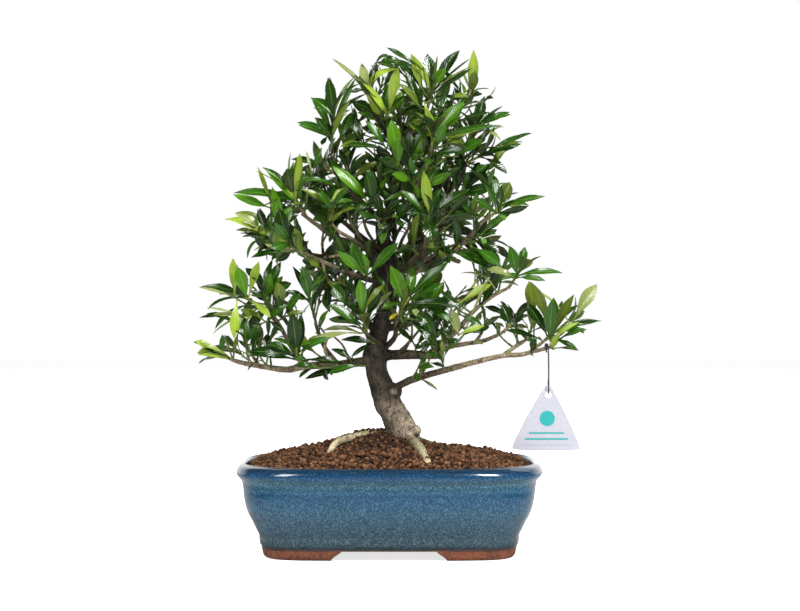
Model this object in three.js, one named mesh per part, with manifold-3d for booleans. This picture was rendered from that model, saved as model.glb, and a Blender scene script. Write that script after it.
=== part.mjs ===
// Gardenia bonsai growing in a blue glazed pot on four feet. Millimetres, +Z up.
// The lists below are given from the centre of the pot's foot print: +X is to the right in the front view,
// +Y runs to the back. The finished group is moved so that the middle of its box's bottom is (0, 0, 0).
import * as THREE from 'three';
import { mergeVertices } from 'three/addons/utils/BufferGeometryUtils.js';
import Module from 'manifold-3d';

const wasm = await Module();
wasm.setup();

// Sizes of the pot
const PLAN_STEPS = 36; // straight sides in one round of the plan
const FOOT_HEIGHT = 9.4;
const FLOOR_TOP = 18;
const RIM_HEIGHT = 88.6;
const GAP = 0.35; // air between pieces that touch
// The plan is |x/a|^p + |y/b|^p = 1, squarer at the feet than at the rim
const planPower = (height) => 6.5 - 3.1 * height / RIM_HEIGHT;
const planDifference = (height) => 35 + 4 * height / RIM_HEIGHT; // half length less half width

// Half length and height of the pot's section, from the underside, over the lip and down to the floor
const POT_SECTION = [
  [125, FOOT_HEIGHT], [125.2, 12], [126.6, 13.2], [127.3, 17.5], [127.8, 21.7], [130.5, 27], [133.9, 34],
  [137.5, 40.4], [140.6, 48], [142.8, 57], [144.1, 66], [145.4, 72.5], [147.6, 75.5], [150.4, 78.8],
  [151.1, 82.6], [149.6, 86.4], [146, RIM_HEIGHT], [142, 86.6], [135.5, 58], [124, 30], [118, FLOOR_TOP],
];
const FOOT_SECTION = [[122.8, 0], [124.8, FOOT_HEIGHT - GAP]]; // outer face of the feet
const FOOT_BAND = 22; // how deep the feet reach in from their outer face
const FOOT_GAP_X = [55.5, 45]; // half gap between the feet along the front, at the ground and at the top
const FOOT_GAP_Y = [38, 31]; // the same along the ends
// The four feet: place, and the side of the pot's middle along X and along Y
const FEET = [['front_left', -1, -1], ['front_right', 1, -1], ['back_left', -1, 1], ['back_right', 1, 1]];
const PLAN_QUARTER = 160; // side of a square that holds one corner of the plan
const DRAIN_PLACE = 62; // drain holes at x = -62 and +62
const DRAIN_RADIUS = 9;
const SCREEN_SIDE = 30;
const SCREEN_THICK = 1;
const SCREEN_MESH = 3; // openings in each row of a screen
const SCREEN_BAR = 2.4;

// Sizes of the soil
const SOIL_EDGE = 84; // height where it meets the pot
const SOIL_HALF = 140.2; // half length there
const SOIL_RISE = 15.5; // rise from the edge to the middle plateau
const MOUND_RISE = 19.5; // further rise round the trunk
const MOUND_X = -14;
const MOUND_SPREAD = 32;
const SOIL_LUMP = 1.5; // height of the uneven surface

// Trunk, from the buried foot to the top: x, y, z, radius
const TRUNK = [
  [16, 3, 58, 13], [16, 2, 92, 16], [14.5, 2, 112, 16.4], [7, 1, 130, 13.9], [-2.5, 0, 149, 13.2],
  [-8, 0, 163, 12.4], [-13, 0, 177, 11.3], [-14, 0, 193, 11.6], [-12, 0, 210, 10.6], [-7, 1, 229, 9.6],
  [-2, 2, 245, 9.2], [-4, 3, 262, 8.8], [-3, 4, 278, 9], [-3, 4, 294, 8.4], [-7, 4, 313, 7],
  [-6, 3, 328, 6.4], [3, 3, 345, 5.4], [8, 4, 370, 4.6], [11, 5, 399, 3.8], [13, 6, 418, 3],
];
// Old cut scars and swellings on the trunk: x, y, z, radius
const KNOBS = [
  [4, -6, 158, 9], [26, -7, 119, 6],
];
// Roots that show on the soil: radius at both ends, and points
const ROOTS = [
  { radii: [5, 2.8], points: [[4, -2, 112], [-20, -10, 115], [-36, -20, 113], [-50, -32, 110],
    [-58, -46, 101], [-61, -54, 88]] },
  { radii: [6.5, 3], points: [[14, -4, 110], [24, -26, 108], [30, -48, 104], [34, -66, 98],
    [38, -80, 91], [41, -90, 80]] },
  { radii: [5.5, 3], points: [[20, 4, 110], [40, 12, 103], [58, 24, 95], [72, 32, 84]] },
];
// Branches: the point of the trunk or branch that each leaves is its first point
const BRANCHES = {
  leftLow: { radii: [5, 2], points: [[-14, -2, 190], [-38, -14, 186.5], [-53, -20, 185], [-80, -28, 184.5],
    [-101, -33, 181], [-124, -36, 184], [-141, -38, 187], [-153, -40, 190]] },
  leftLowRise: { radii: [2.6, 1.7], points: [[-84, -29, 183], [-97, -31, 203], [-107, -33, 223],
    [-117, -35, 238]] },
  leftLowInner: { radii: [2.5, 1.6], points: [[-52, -20, 187], [-64, -15, 202], [-71, -9, 217],
    [-75, -5, 232]] },
  leftWhorl: { radii: [3.2, 2.2], points: [[-13, -4, 204], [-21, -15, 210]] },
  frontWhorl: { radii: [3.2, 2], points: [[-6, -4, 200], [5, -15, 212], [6, -24, 224]] },
  rightLow: { radii: [5.4, 3.4], points: [[-12, 0, 194], [20, -8, 195], [40, -12, 194], [54, -14, 195.5]] },
  rightLowOuter: { radii: [3, 1.8], points: [[42, -12, 195], [58, -12, 202], [72, -8, 205], [95, -4, 209],
    [114, 0, 217]] },
  rightLowRise: { radii: [3.2, 1.8], points: [[38, -12, 195], [54, -17, 208], [68, -20, 220],
    [84, -24, 239], [103, -28, 254], [117, -30, 261]] },
  rightLowest: { radii: [4.3, 1.8], points: [[-2, -3, 156], [14, -12, 166.5], [27, -18, 172], [54, -28, 180],
    [79, -36, 187], [109, -44, 194.5], [131, -47, 196.5], [157, -50, 203.5]] },
  rightLowestTwig: { radii: [2.2, 1.6], points: [[110, -44, 194], [124, -40, 204], [134, -37, 210]] },
  leftMid: { radii: [3.6, 1.7], points: [[-4, 4, 287], [-34, 16, 291], [-58, 24, 293], [-88, 31, 298],
    [-103, 33, 309]] },
  leftMidFront: { radii: [3.3, 1.7], points: [[-4, 2, 266], [-28, -10, 272], [-52, -20, 281],
    [-86, -28, 296], [-106, -31, 301]] },
  leftHigh: { radii: [4.4, 1.8], points: [[-4, 4, 299], [-28, -1, 305], [-52, -9, 311], [-69, -15, 322],
    [-87, -22, 335]] },
  leftTop: { radii: [3.4, 1.7], points: [[-5, 3, 326], [-29, 8, 349], [-47, 12, 365], [-54, 14, 383],
    [-58, 15, 400]] },
  rightMid: { radii: [5, 1.9], points: [[-3, 2, 262], [17, -4, 270], [27, -9, 280], [39, -13, 286],
    [58, -20, 295], [66, -23, 301], [81, -28, 314], [91, -32, 326], [100, -35, 332]] },
  rightMidStub: { radii: [2.8, 2.5], points: [[54, -18, 293], [70, -25, 287]] },
  rightHigh: { radii: [4.6, 1.9], points: [[-3, 4, 288], [20, 9, 290], [35, 14, 302], [46, 19, 322],
    [57, 22, 346], [66, 20, 372], [74, 14, 396]] },
  frontHigh: { radii: [3.6, 1.8], points: [[-6, 3, 314], [8, -12, 332], [22, -26, 352], [33, -34, 376],
    [40, -38, 394]] },
  frontMid: { radii: [3, 1.9], points: [[30, -10, 281], [33, -28, 297], [36, -42, 312]] },
  topLeft: { radii: [3, 1.7], points: [[10, 5, 396], [-4, 2, 418], [-16, 0, 438]] },
  topRight: { radii: [3, 1.7], points: [[11, 5, 402], [27, 2, 424], [38, -2, 442]] },
  topFar: { radii: [2.6, 1.6], points: [[20, 4, 414], [46, 10, 428], [68, 12, 440]] },
  backLow: { radii: [4.6, 1.9], points: [[-11, 2, 214], [-22, 34, 226], [-38, 66, 244], [-54, 86, 266]] },
  backLowRight: { radii: [4.4, 1.9], points: [[-9, 2, 220], [20, 34, 226], [50, 62, 238], [80, 80, 254]] },
  backMid: { radii: [4.2, 1.9], points: [[-3, 5, 272], [10, 38, 284], [26, 70, 304], [36, 88, 328]] },
  backMidLeft: { radii: [3.8, 1.8], points: [[-4, 5, 294], [-26, 36, 312], [-52, 60, 334],
    [-76, 70, 356]] },
  backHigh: { radii: [3.4, 1.8], points: [[2, 4, 342], [6, 30, 364], [12, 52, 390], [12, 60, 414]] },
};
const TRUNK_SIDES = 9;
const BRANCH_SIDES = 5;
const TWIG_SIDES = 4;
const TWIG_RADII = [1.7, 1.35];

// Leafy shoots: the branch, how many of its points along, where the bud is, the number of leaf pairs that
// the rule adds, and the length of a full leaf. Chosen leaves follow as tip x, y, z, width, roll, bend.
const SHOOTS = [
  { on: 'leftHigh', at: 3.7, bud: [-96, -28, 356], pairs: 3, leaf: 42, chosen: [
    [-88, -34, 394, 9, 20, 0.05], [-95, -14, 386, 13, -10, 0.06], [-125, -36, 380, 10, 10, 0.08],
    [-154, -30, 355, 12, 0, 0.1], [-133, -18, 378, 6, 60, 0.05]] },
  { on: 'leftHigh', at: 2.4, bud: [-56, -34, 336], pairs: 3, leaf: 34,
    chosen: [[-72, -44, 356, 8, 0, 0.1]] },
  { on: 'leftMid', at: 3.8, bud: [-117, 30, 325], pairs: 3, leaf: 40, chosen: [
    [-167, 14, 331, 8, 10, 0.08], [-158, 46, 340, 10, 0, 0.08], [-121, 20, 356, 9, 30, 0.05]] },
  { on: 'leftMid', at: 2.3, bud: [-66, 12, 322], pairs: 3, leaf: 36,
    chosen: [[-88, 4, 322, 9, 0, 0.1]] },
  { on: 'leftMidFront', at: 4, bud: [-122, -34, 311], pairs: 3, leaf: 34, chosen: [
    [-151, -38, 318, 8, 20, 0.1], [-138, -54, 290, 8, 40, 0.2]] },
  { on: 'leftMidFront', at: 2.4, bud: [-60, -36, 268], pairs: 3, leaf: 38,
    chosen: [[-44, -42, 246, 12, 10, 0.12]] },
  { on: 'leftLowRise', at: 3, bud: [-122, -38, 256], pairs: 3, leaf: 36, chosen: [
    [-106, -42, 287, 10, 10, 0.08], [-115, -30, 290, 9, -30, 0.06], [-96, -36, 266, 11, 0, 0.08]] },
  { on: 'leftLowRise', at: 2, bud: [-144, -22, 254], pairs: 2, leaf: 38, chosen: [
    [-153, -26, 291, 8, 20, 0.05], [-130, -30, 288, 9, 0, 0.05], [-154, -34, 213, 11, 10, 0.1],
    [-189, -20, 262, 9, 0, 0.12], [-180, -28, 240, 9, 30, 0.15], [-174, -14, 220, 8, 0, 0.15]] },
  { on: 'leftLow', at: 5.2, bud: [-150, 8, 222], pairs: 3, leaf: 36,
    chosen: [[-184, 0, 236, 9, 10, 0.12]] },
  { on: 'leftLow', at: 7, bud: [-169, -42, 199], pairs: 3, leaf: 32, chosen: [
    [-190, -48, 209, 9, 0, 0.1], [-189, -36, 197, 9, 10, 0.12], [-163, -46, 216, 6, 40, 0.05]] },
  { on: 'leftLow', at: 5.7, bud: [-139, -50, 208], pairs: 3, leaf: 30,
    chosen: [[-128, -56, 224, 8, 10, 0.08]] },
  { on: 'leftLow', at: 3.2, bud: [-90, -54, 201], pairs: 3, leaf: 38, chosen: [
    [-94, -62, 238, 15, 0, 0.06], [-137, -60, 199, 11, -20, 0.12], [-55, -70, 213, 9, 10, 0.1],
    [-112, -66, 212, 9, 20, 0.1]] },
  { on: 'leftLow', at: 1.8, bud: [-58, -2, 176], pairs: 1, leaf: 32,
    chosen: [[-86, -6, 170, 8, -40, 0.12]] },
  { on: 'leftLowInner', at: 3, bud: [-80, -4, 250], pairs: 3, leaf: 34, chosen: [
    [-86, -10, 281, 11, 0, 0.06], [-104, -16, 258, 9, 10, 0.1], [-98, 8, 284, 10, 20, 0.06]] },
  { on: 'leftWhorl', at: 1, bud: [-26, -30, 234], pairs: 3, leaf: 38, chosen: [
    [-27, -36, 268, 10, 0, 0.05], [-59, -36, 242, 11, -10, 0.08], [-84, -40, 208, 9, 0, 0.24],
    [-8, -44, 256, 9, 30, 0.08]] },
  { on: 'frontWhorl', at: 2, bud: [18, -42, 250], pairs: 2, leaf: 40, chosen: [
    [1, -50, 283, 16, 0, 0.06], [57, -50, 286, 10, 0, 0.08], [52, -46, 266, 10, 0, 0.06],
    [64, -50, 243, 10, 10, 0.14], [0, -38, 230, 5, 20, 0.06], [46, -42, 205, 11, 0, 0.35]] },
  { on: 'rightLow', at: 2.2, bud: [44, -34, 222], pairs: 2, leaf: 30,
    chosen: [[60, -44, 212, 9, 0, 0.15]] },
  { on: 'rightLowRise', at: 1.4, bud: [70, -28, 243], pairs: 2, leaf: 34, chosen: [
    [101, -32, 263, 10, 0, 0.06], [92, -34, 224, 7, 20, 0.1], [53, -36, 258, 9, 20, 0.08]] },
  { on: 'rightLowRise', at: 5, bud: [127, -32, 276], pairs: 2, leaf: 36, chosen: [
    [118, -38, 303, 12, 0, 0.06], [134, -26, 302, 9, 20, 0.06], [172, -26, 276, 9, 0, 0.1],
    [152, -54, 268, 7, 10, 0.08], [95, -36, 279, 11, 0, 0.14], [110, -12, 258, 9, 10, 0.12]] },
  { on: 'rightLowOuter', at: 4, bud: [128, 2, 234], pairs: 2, leaf: 34, chosen: [
    [116, -6, 258, 12, 0, 0.08], [95, 2, 243, 9, 0, 0.1], [146, -4, 206, 7, 30, 0.12],
    [152, 6, 250, 10, 0, 0.08]] },
  { on: 'rightLowOuter', at: 2.6, bud: [98, 18, 228], pairs: 3, leaf: 30, chosen: [] },
  { on: 'rightLowest', at: 7, bud: [158, -50, 219], pairs: 2, leaf: 40, chosen: [
    [137, -64, 267, 11, 0, 0.06], [133, -44, 243, 12, 0, 0.06], [160, -52, 252, 10, 10, 0.05],
    [184, -52, 200, 7, 0, 0.1]] },
  { on: 'rightLowest', at: 6.2, bud: [172, -40, 226], pairs: 2, leaf: 38, chosen: [
    [178, -50, 258, 10, 0, 0.06], [202, -36, 264, 12, 0, 0.07], [208, -28, 229, 7, 20, 0.08],
    [191, -54, 219, 8, 0, 0.1]] },
  { on: 'rightLowestTwig', at: 2, bud: [140, -34, 222], pairs: 2, leaf: 26, chosen: [] },
  { on: 'rightLowest', at: 2.2, bud: [31, -24, 183], pairs: 0, leaf: 20, chosen: [
    [36, -30, 197, 6, 0, 0.06], [50, -34, 164, 5, 10, 0.2]] },
  { on: 'rightMid', at: 8, bud: [110, -38, 343], pairs: 2, leaf: 34, chosen: [
    [118, -42, 365, 14, 0, 0.04], [153, -40, 351, 7, 20, 0.1], [136, -58, 341, 9, 0, 0.14],
    [104, -26, 370, 10, 10, 0.05], [92, -52, 362, 9, 10, 0.06]] },
  { on: 'rightMid', at: 5.4, bud: [88, -8, 308], pairs: 3, leaf: 34, chosen: [
    [110, -20, 279, 13, 0, 0.12], [108, -4, 320, 7, 0, 0.08]] },
  { on: 'rightMid', at: 4.2, bud: [68, -42, 302], pairs: 2, leaf: 36,
    chosen: [[97, -48, 282, 13, -10, 0.1]] },
  { on: 'rightHigh', at: 4, bud: [72, -2, 356], pairs: 3, leaf: 42, chosen: [
    [102, -12, 386, 15, 0, 0.05], [57, -14, 389, 10, 10, 0.05]] },
  { on: 'rightHigh', at: 5.4, bud: [98, 4, 396], pairs: 3, leaf: 36, chosen: [
    [142, -6, 416, 7, 10, 0.1], [133, 8, 407, 7, 30, 0.12], [118, 0, 376, 10, 0, 0.12]] },
  { on: 'rightHigh', at: 6, bud: [84, 10, 424], pairs: 3, leaf: 36, chosen: [
    [96, 4, 455, 9, 10, 0.05], [121, -2, 438, 9, 0, 0.08], [101, 16, 440, 8, 20, 0.08]] },
  { on: 'rightHigh', at: 2.6, bud: [62, 34, 326], pairs: 3, leaf: 38, chosen: [] },
  { on: 'frontMid', at: 2, bud: [39, -52, 333], pairs: 3, leaf: 42, chosen: [
    [33, -58, 376, 11, 0, 0.04], [79, -56, 357, 12, 0, 0.08], [41, -66, 306, 15, 0, 0.2],
    [10, -56, 356, 10, 10, 0.08]] },
  { on: 'frontHigh', at: 4, bud: [44, -42, 410], pairs: 3, leaf: 40, chosen: [
    [34, -46, 440, 7, 10, 0.05], [73, -46, 443, 13, 0, 0.06], [111, -44, 420, 7, 20, 0.1]] },
  { on: 'frontHigh', at: 2.3, bud: [8, -42, 378], pairs: 3, leaf: 34,
    chosen: [[8, -48, 408, 11, 0, 0.05]] },
  { on: 'frontHigh', at: 0.9, bud: [-22, -26, 346], pairs: 2, leaf: 40, chosen: [
    [-57, -30, 382, 13, 0, 0.06], [-62, -54, 309, 11, 10, 0.12], [-20, -40, 378, 9, 0, 0.06]] },
  { on: 'leftTop', at: 4, bud: [-58, 14, 427], pairs: 3, leaf: 36, chosen: [
    [-60, 6, 474, 12, 0, 0.05], [-80, 10, 455, 9, 0, 0.06], [-94, 14, 429, 9, 10, 0.1],
    [-34, 8, 474, 6, 20, 0.12], [-22, -16, 455, 7, 0, 0.16]] },
  { on: 'leftTop', at: 2.4, bud: [-66, 22, 384], pairs: 3, leaf: 38,
    chosen: [[-100, 16, 392, 10, 0, 0.1]] },
  { on: 'topLeft', at: 2, bud: [-23, -2, 459], pairs: 2, leaf: 32, chosen: [
    [-57, -6, 491, 6, 20, 0.05], [-28, -8, 486, 9, 0, 0.05], [-13, 4, 490, 9, 10, 0.06],
    [10, -10, 480, 9, 0, 0.42]] },
  { on: 'topLeft', at: 1.2, bud: [2, -14, 440], pairs: 2, leaf: 34, chosen: [
    [9, -34, 478, 11, 0, 0.04], [-26, -36, 462, 8, 10, 0.06], [4, -28, 404, 9, 0, 0.2]] },
  { on: 'topRight', at: 2, bud: [43, -6, 464], pairs: 2, leaf: 34, chosen: [
    [21, -20, 494, 9, 0, 0.05], [38, 2, 497, 14, 0, 0.04], [68, -18, 497, 10, 0, 0.06],
    [82, -16, 480, 6, 30, 0.06]] },
  { on: 'topFar', at: 2, bud: [81, 12, 462], pairs: 3, leaf: 30, chosen: [[86, 12, 500, 9, 0, 0.04]] },
  { on: 'topFar', at: 1.2, bud: [48, 28, 446], pairs: 3, leaf: 34, chosen: [] },
  { on: 'backLow', at: 3, bud: [-62, 96, 286], pairs: 4, leaf: 40, chosen: [] },
  { on: 'backLow', at: 2, bud: [-62, 68, 268], pairs: 3, leaf: 38, chosen: [] },
  { on: 'backLowRight', at: 3, bud: [92, 86, 272], pairs: 4, leaf: 40, chosen: [] },
  { on: 'backMid', at: 3, bud: [40, 96, 350], pairs: 4, leaf: 40, chosen: [] },
  { on: 'backMidLeft', at: 3, bud: [-84, 74, 378], pairs: 4, leaf: 40, chosen: [] },
  { on: 'backHigh', at: 3, bud: [10, 62, 438], pairs: 4, leaf: 38, chosen: [] },
];

// Sizes of the foliage
const STEM_RADII = [1.5, 1.1];
const GREEN_STEM = 26; // length of a shoot's green end
const LEVEL = 2.5; // height of one level of the stem
const LEAF_STATIONS = [0.36, 0.7]; // where a blade has a cross-section between its foot and its tip
const LEAF_THICK = 1.3; // at the midrib
const LEAF_LIFT = 0.12; // how far a tip turns up towards the light, as a share of the leaf's length
const LEAF_FOLD = 0.2; // rise of the margin for each mm out from the midrib
const LEAF_SLENDER = 0.29; // width to length where the rule draws the leaf
const PETIOLE = 0.85; // half width at the leaf's foot
const CLEAR_BLADE = 4.4; // least distance of sample points between leaves of different shoots
const CLEAR_OWN = 2.6; // the same within a shoot, past the crowded leaf feet
const CLEAR_WOOD = 1.7;
const LOWEST_LEAF = 140;

// Sizes of the tag and its wire
const TAG_Y = -52;
const TAG_THICK = 1.2;
const TAG_OUTLINE = [[118, 107], [121.5, 102.6], [183.5, 102.4], [187, 106.4], [157.8, 166.6],
    [151.4, 166.6]];
const TAG_HOLE = [155, 157];
const TAG_HOLE_RADIUS = 3.4;
const WIRE_RADIUS = 0.7;
const WIRE_POINTS = [
  [152.2, -45.8, 202.6], [152.4, -47.7, 206], [152.6, -51.7, 206], [152.8, -53.6, 202.6],
  [153, -51.7, 199.2],
  [153.4, -47.7, 199.2], [153.8, -45.8, 202.6], [154, -47.7, 206], [154.2, -51.7, 206.1],
  [154.6, -54, 202.8], [154.9, -55.2, 194], [155, -55.6, 180], [155, -55.4, 166.5], [155, -54.6, 161],
  [155.1, -52, 159.1], [155.2, -49.6, 161], [155.1, -49.4, 166], [154.9, -51.4, 171],
];

// Colours
const finish = (color, roughness) => new THREE.MeshStandardMaterial({ color, roughness, metalness: 0 });
const GLAZE = finish('#2f5c8f', 0.25);
const CLAY = finish('#8a5640', 0.9);
const SOIL = finish('#7a4a36', 0.95);
const BARK = finish('#5d4a38', 0.85);
const LEAF = finish('#2f5a1e', 0.35);
const YOUNG_LEAF = finish('#6f8f2a', 0.4);
const SCREEN = finish('#222222', 0.6);
const TAG = finish('#e6e4ea', 0.4);
const WIRE = finish('#2b2622', 0.5);

const vec = ([x, y, z]) => new THREE.Vector3(x, y, z);
const UP = new THREE.Vector3(0, 0, 1);
const REFERENCE = new THREE.Vector3(0.3, 1, 0).normalize(); // no stem runs quite this way
const FACE = new THREE.Vector3(0, -0.75, 0.65); // the way that a chosen leaf turns its upper face

let seed = 20431;
function draw(low, high) {
  seed = (Math.imul(seed, 1664525) + 1013904223) >>> 0;
  return low + (high - low) * seed / 4294967296;
}

// A closed solid from a geometry whose corners are shared
function solidOf(geometry) {
  geometry.deleteAttribute('normal');
  geometry.deleteAttribute('uv');
  const merged = mergeVertices(geometry, 1e-5);
  return new wasm.Manifold(new wasm.Mesh({
    numProp: 3,
    vertProperties: new Float32Array(merged.attributes.position.array),
    triVerts: new Uint32Array(merged.index.array),
  }));
}

function geometryOf(solid) {
  const { vertProperties, triVerts } = solid.getMesh();
  const geometry = new THREE.BufferGeometry();
  geometry.setAttribute('position', new THREE.BufferAttribute(vertProperties, 3));
  geometry.setIndex(new THREE.BufferAttribute(triVerts, 1));
  return geometry;
}

function unionOf(solids) {
  return solids.reduce((whole, solid) => whole.add(solid));
}

// The skin of a solid, grown ring by ring. Every ring turns anticlockwise about the way ahead, and
// neighbouring strips between two rings have mirrored diagonals. A strip on the open list is left out.
function makeSkin() {
  const corners = [];
  const faces = [];
  const addRing = (points) => points.map((point) => corners.push(point) - 1);
  const bridge = (from, to, open = []) => from.forEach((a, j) => {
    if (open.includes(j)) return;
    const next = (j + 1) % from.length;
    const [b, c, d] = [from[next], to[next], to[j]];
    faces.push(...(j % 2 ? [a, b, d, b, c, d] : [a, b, c, a, c, d]));
  });
  const closeAhead = (ring) => {
    for (let j = 1; j < ring.length - 1; j += 1) {
      faces.push(ring[0], ring[j], ring[j + 1]);
    }
  };
  const closeBehind = (ring) => closeAhead([...ring].reverse());
  const runToTip = (ring, tip) => {
    const [last] = addRing([tip]);
    ring.forEach((a, j) => faces.push(a, ring[(j + 1) % ring.length], last));
  };
  const triangles = () => Array.from({ length: faces.length / 3 }, (_, i) => (
    faces.slice(3 * i, 3 * i + 3).map((corner) => corners[corner])));
  const solid = () => {
    const geometry = new THREE.BufferGeometry().setFromPoints(corners);
    geometry.setIndex(faces);
    return solidOf(geometry);
  };
  return { addRing, bridge, closeBehind, closeAhead, runToTip, triangles, solid };
}

// A solid through rings of points, closed by a flat end at both ends
function loft(rings) {
  const skin = makeSkin();
  const added = rings.map(skin.addRing);
  skin.closeBehind(added[0]);
  added.slice(1).forEach((ring, i) => skin.bridge(added[i], ring));
  skin.closeAhead(added[added.length - 1]);
  return skin.solid();
}

// Rings across a path: a frame that never spins is carried along it
function ringsAlong(points, radiusAt, sides, phase = 0) {
  const ways = points.map((point, i) => {
    const before = points[Math.max(i - 1, 0)];
    const after = points[Math.min(i + 1, points.length - 1)];
    return after.clone().sub(before).normalize();
  });
  let across = new THREE.Vector3().crossVectors(REFERENCE, ways[0]);
  return points.map((point, i) => {
    across = across.clone().addScaledVector(ways[i], -across.dot(ways[i])).normalize();
    const side = new THREE.Vector3().crossVectors(ways[i], across);
    return Array.from({ length: sides }, (_, j) => {
      const angle = phase + j * 2 * Math.PI / sides;
      const radius = radiusAt(i, angle);
      return point.clone().addScaledVector(across, radius * Math.cos(angle))
        .addScaledVector(side, radius * Math.sin(angle));
    });
  });
}

// A round rod through points
const rod = (points, radiusAt, sides) => loft(ringsAlong(points, radiusAt, sides));

const taper = ([start, end], count) => (i) => start + (end - start) * i / (count - 1);

// Pot

// One level ring of the plan, of the given half length
function planRing(
  halfLength, height, halfWidth = halfLength - planDifference(height), power = planPower(height),
) {
  return Array.from({ length: PLAN_STEPS }, (_, i) => {
    const angle = i * 2 * Math.PI / PLAN_STEPS;
    const [c, s] = [Math.cos(angle), Math.sin(angle)];
    return new THREE.Vector3(
      halfLength * Math.sign(c) * Math.abs(c) ** (2 / power),
      halfWidth * Math.sign(s) * Math.abs(s) ** (2 / power),
      height,
    );
  });
}

// A prism across the pot whose end view is a trapezium standing on the ground
function footGap([bottom, top], turned) {
  const low = -2;
  const high = FOOT_HEIGHT;
  const shape = new THREE.Shape([
    new THREE.Vector2(-bottom, low), new THREE.Vector2(bottom, low),
    new THREE.Vector2(top, high), new THREE.Vector2(-top, high),
  ]);
  const reach = 150;
  const geometry = new THREE.ExtrudeGeometry(shape, { depth: 2 * reach, bevelEnabled: false });
  geometry.translate(0, 0, -reach);
  geometry.rotateX(Math.PI / 2);
  if (turned) geometry.rotateZ(Math.PI / 2);
  return solidOf(geometry);
}

function makeFoot(sideX, sideY) {
  const band = loft(FOOT_SECTION.map(([half, height]) => planRing(half, height)));
  const hollow = loft([-1, 13].map((height) => planRing(FOOT_SECTION[0][0] - FOOT_BAND, height)));
  const corner = new THREE.BoxGeometry(PLAN_QUARTER, PLAN_QUARTER, 40);
  corner.translate(sideX * PLAN_QUARTER / 2, sideY * PLAN_QUARTER / 2, 0);
  return band.subtract(hollow).subtract(footGap(FOOT_GAP_X, false)).subtract(footGap(FOOT_GAP_Y, true))
    .intersect(solidOf(corner));
}

function makePot() {
  const shell = loft(POT_SECTION.map(([half, height]) => planRing(half, height)));
  const drains = [-1, 1].map((side) => {
    const bore = new THREE.CylinderGeometry(DRAIN_RADIUS, DRAIN_RADIUS, 20, 20);
    bore.rotateX(Math.PI / 2);
    bore.translate(side * DRAIN_PLACE, 0, (FOOT_HEIGHT + FLOOR_TOP) / 2);
    return solidOf(bore);
  });
  return shell.subtract(drains[0]).subtract(drains[1]);
}

function boxSolid(size, centre) {
  const geometry = new THREE.BoxGeometry(...size);
  geometry.translate(...centre);
  return solidOf(geometry);
}

// A square plate with rows of square openings
function makeScreen(side) {
  const pitch = (SCREEN_SIDE - SCREEN_BAR) / SCREEN_MESH;
  const opening = pitch - SCREEN_BAR;
  const middle = side * DRAIN_PLACE;
  const height = FLOOR_TOP + GAP + SCREEN_THICK / 2;
  let plate = boxSolid([SCREEN_SIDE, SCREEN_SIDE, SCREEN_THICK], [middle, 0, height]);
  for (let i = 0; i < SCREEN_MESH; i += 1) {
    for (let j = 0; j < SCREEN_MESH; j += 1) {
      const [x, y] = [i, j].map((step) => (step - (SCREEN_MESH - 1) / 2) * pitch);
      plate = plate.subtract(boxSolid([opening, opening, 2 * SCREEN_THICK], [middle + x, y, height]));
    }
  }
  return plate;
}

// Soil

// Height of the soil: a plateau that falls to the edge, a mound round the trunk, and uneven lumps
function soilHeight(x, y, reach) {
  const plateau = SOIL_EDGE + SOIL_RISE * (1 - reach ** 4);
  const mound = MOUND_RISE * Math.exp(-((x - MOUND_X) ** 2 + y ** 2) / (2 * MOUND_SPREAD ** 2));
  const ripples = Math.sin(0.21 * x + 0.7) * Math.cos(0.19 * y) + 0.6 * Math.sin(0.33 * y + 0.27 * x);
  return plateau + mound + SOIL_LUMP * ripples * (1 - reach ** 6);
}

function makeSoil(holes) {
  const wall = [[118, FLOOR_TOP + GAP], [124, 30], [135.5, 58], [SOIL_HALF, SOIL_EDGE - 2]];
  const sides = wall.map(([half, height]) => planRing(half - GAP, height));
  const top = [0.985, 0.83, 0.66, 0.5, 0.35, 0.22, 0.1].map((reach) => {
    const halfWidth = (SOIL_HALF - planDifference(SOIL_EDGE)) * reach;
    const ring = planRing(SOIL_HALF * reach, 0, halfWidth, planPower(SOIL_EDGE));
    return ring.map((point) => new THREE.Vector3(point.x, point.y, soilHeight(point.x, point.y, reach)));
  });
  const pocket = [SCREEN_SIDE + 2 * GAP, SCREEN_SIDE + 2 * GAP, 2 * (SCREEN_THICK + 2 * GAP)];
  const pockets = [-1, 1].map((side) => boxSolid(pocket, [side * DRAIN_PLACE, 0, FLOOR_TOP]));
  return [...pockets, ...holes].reduce((soil, hole) => soil.subtract(hole), loft([...sides, ...top]));
}

// Wood

// The trunk is a little out of round: three low ribs that turn slowly on the way up
function makeTrunk(extra = 0, points = TRUNK) {
  const radiusAt = (i, angle) => points[i][3] * (1 + 0.07 * Math.cos(3 * angle + 0.9 * i)) + extra;
  return rod(points.map(vec), radiusAt, TRUNK_SIDES);
}

function makeRoot({ radii, points }, extra = 0) {
  const path = points.map(vec);
  const last = path.length - 1;
  const onward = path[last].clone().sub(path[last - 1]).setLength(extra);
  path[last].add(onward);
  const radiusAt = taper(radii, path.length);
  return rod(path, (i) => radiusAt(i) + extra, BRANCH_SIDES);
}

function makeKnob([x, y, z, radius]) {
  const knob = new THREE.IcosahedronGeometry(radius, 1);
  knob.translate(x, y, z);
  return solidOf(knob);
}

// Shoots

// The point at a number of points along a branch, and the way that the branch runs there
function placeOn(points, at) {
  const start = Math.min(Math.floor(at), points.length - 2);
  const [from, to] = [vec(points[start]), vec(points[start + 1])];
  return { point: from.clone().lerp(to, at - start), way: to.clone().sub(from).normalize() };
}

// Levels of the stem, counted down from the bud: the rule's pairs stand on every third, chosen leaves between
const pairLevel = (pair) => 3 * pair + 1;
const chosenLevel = (order) => order + Math.floor((order + 1) / 2);

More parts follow.
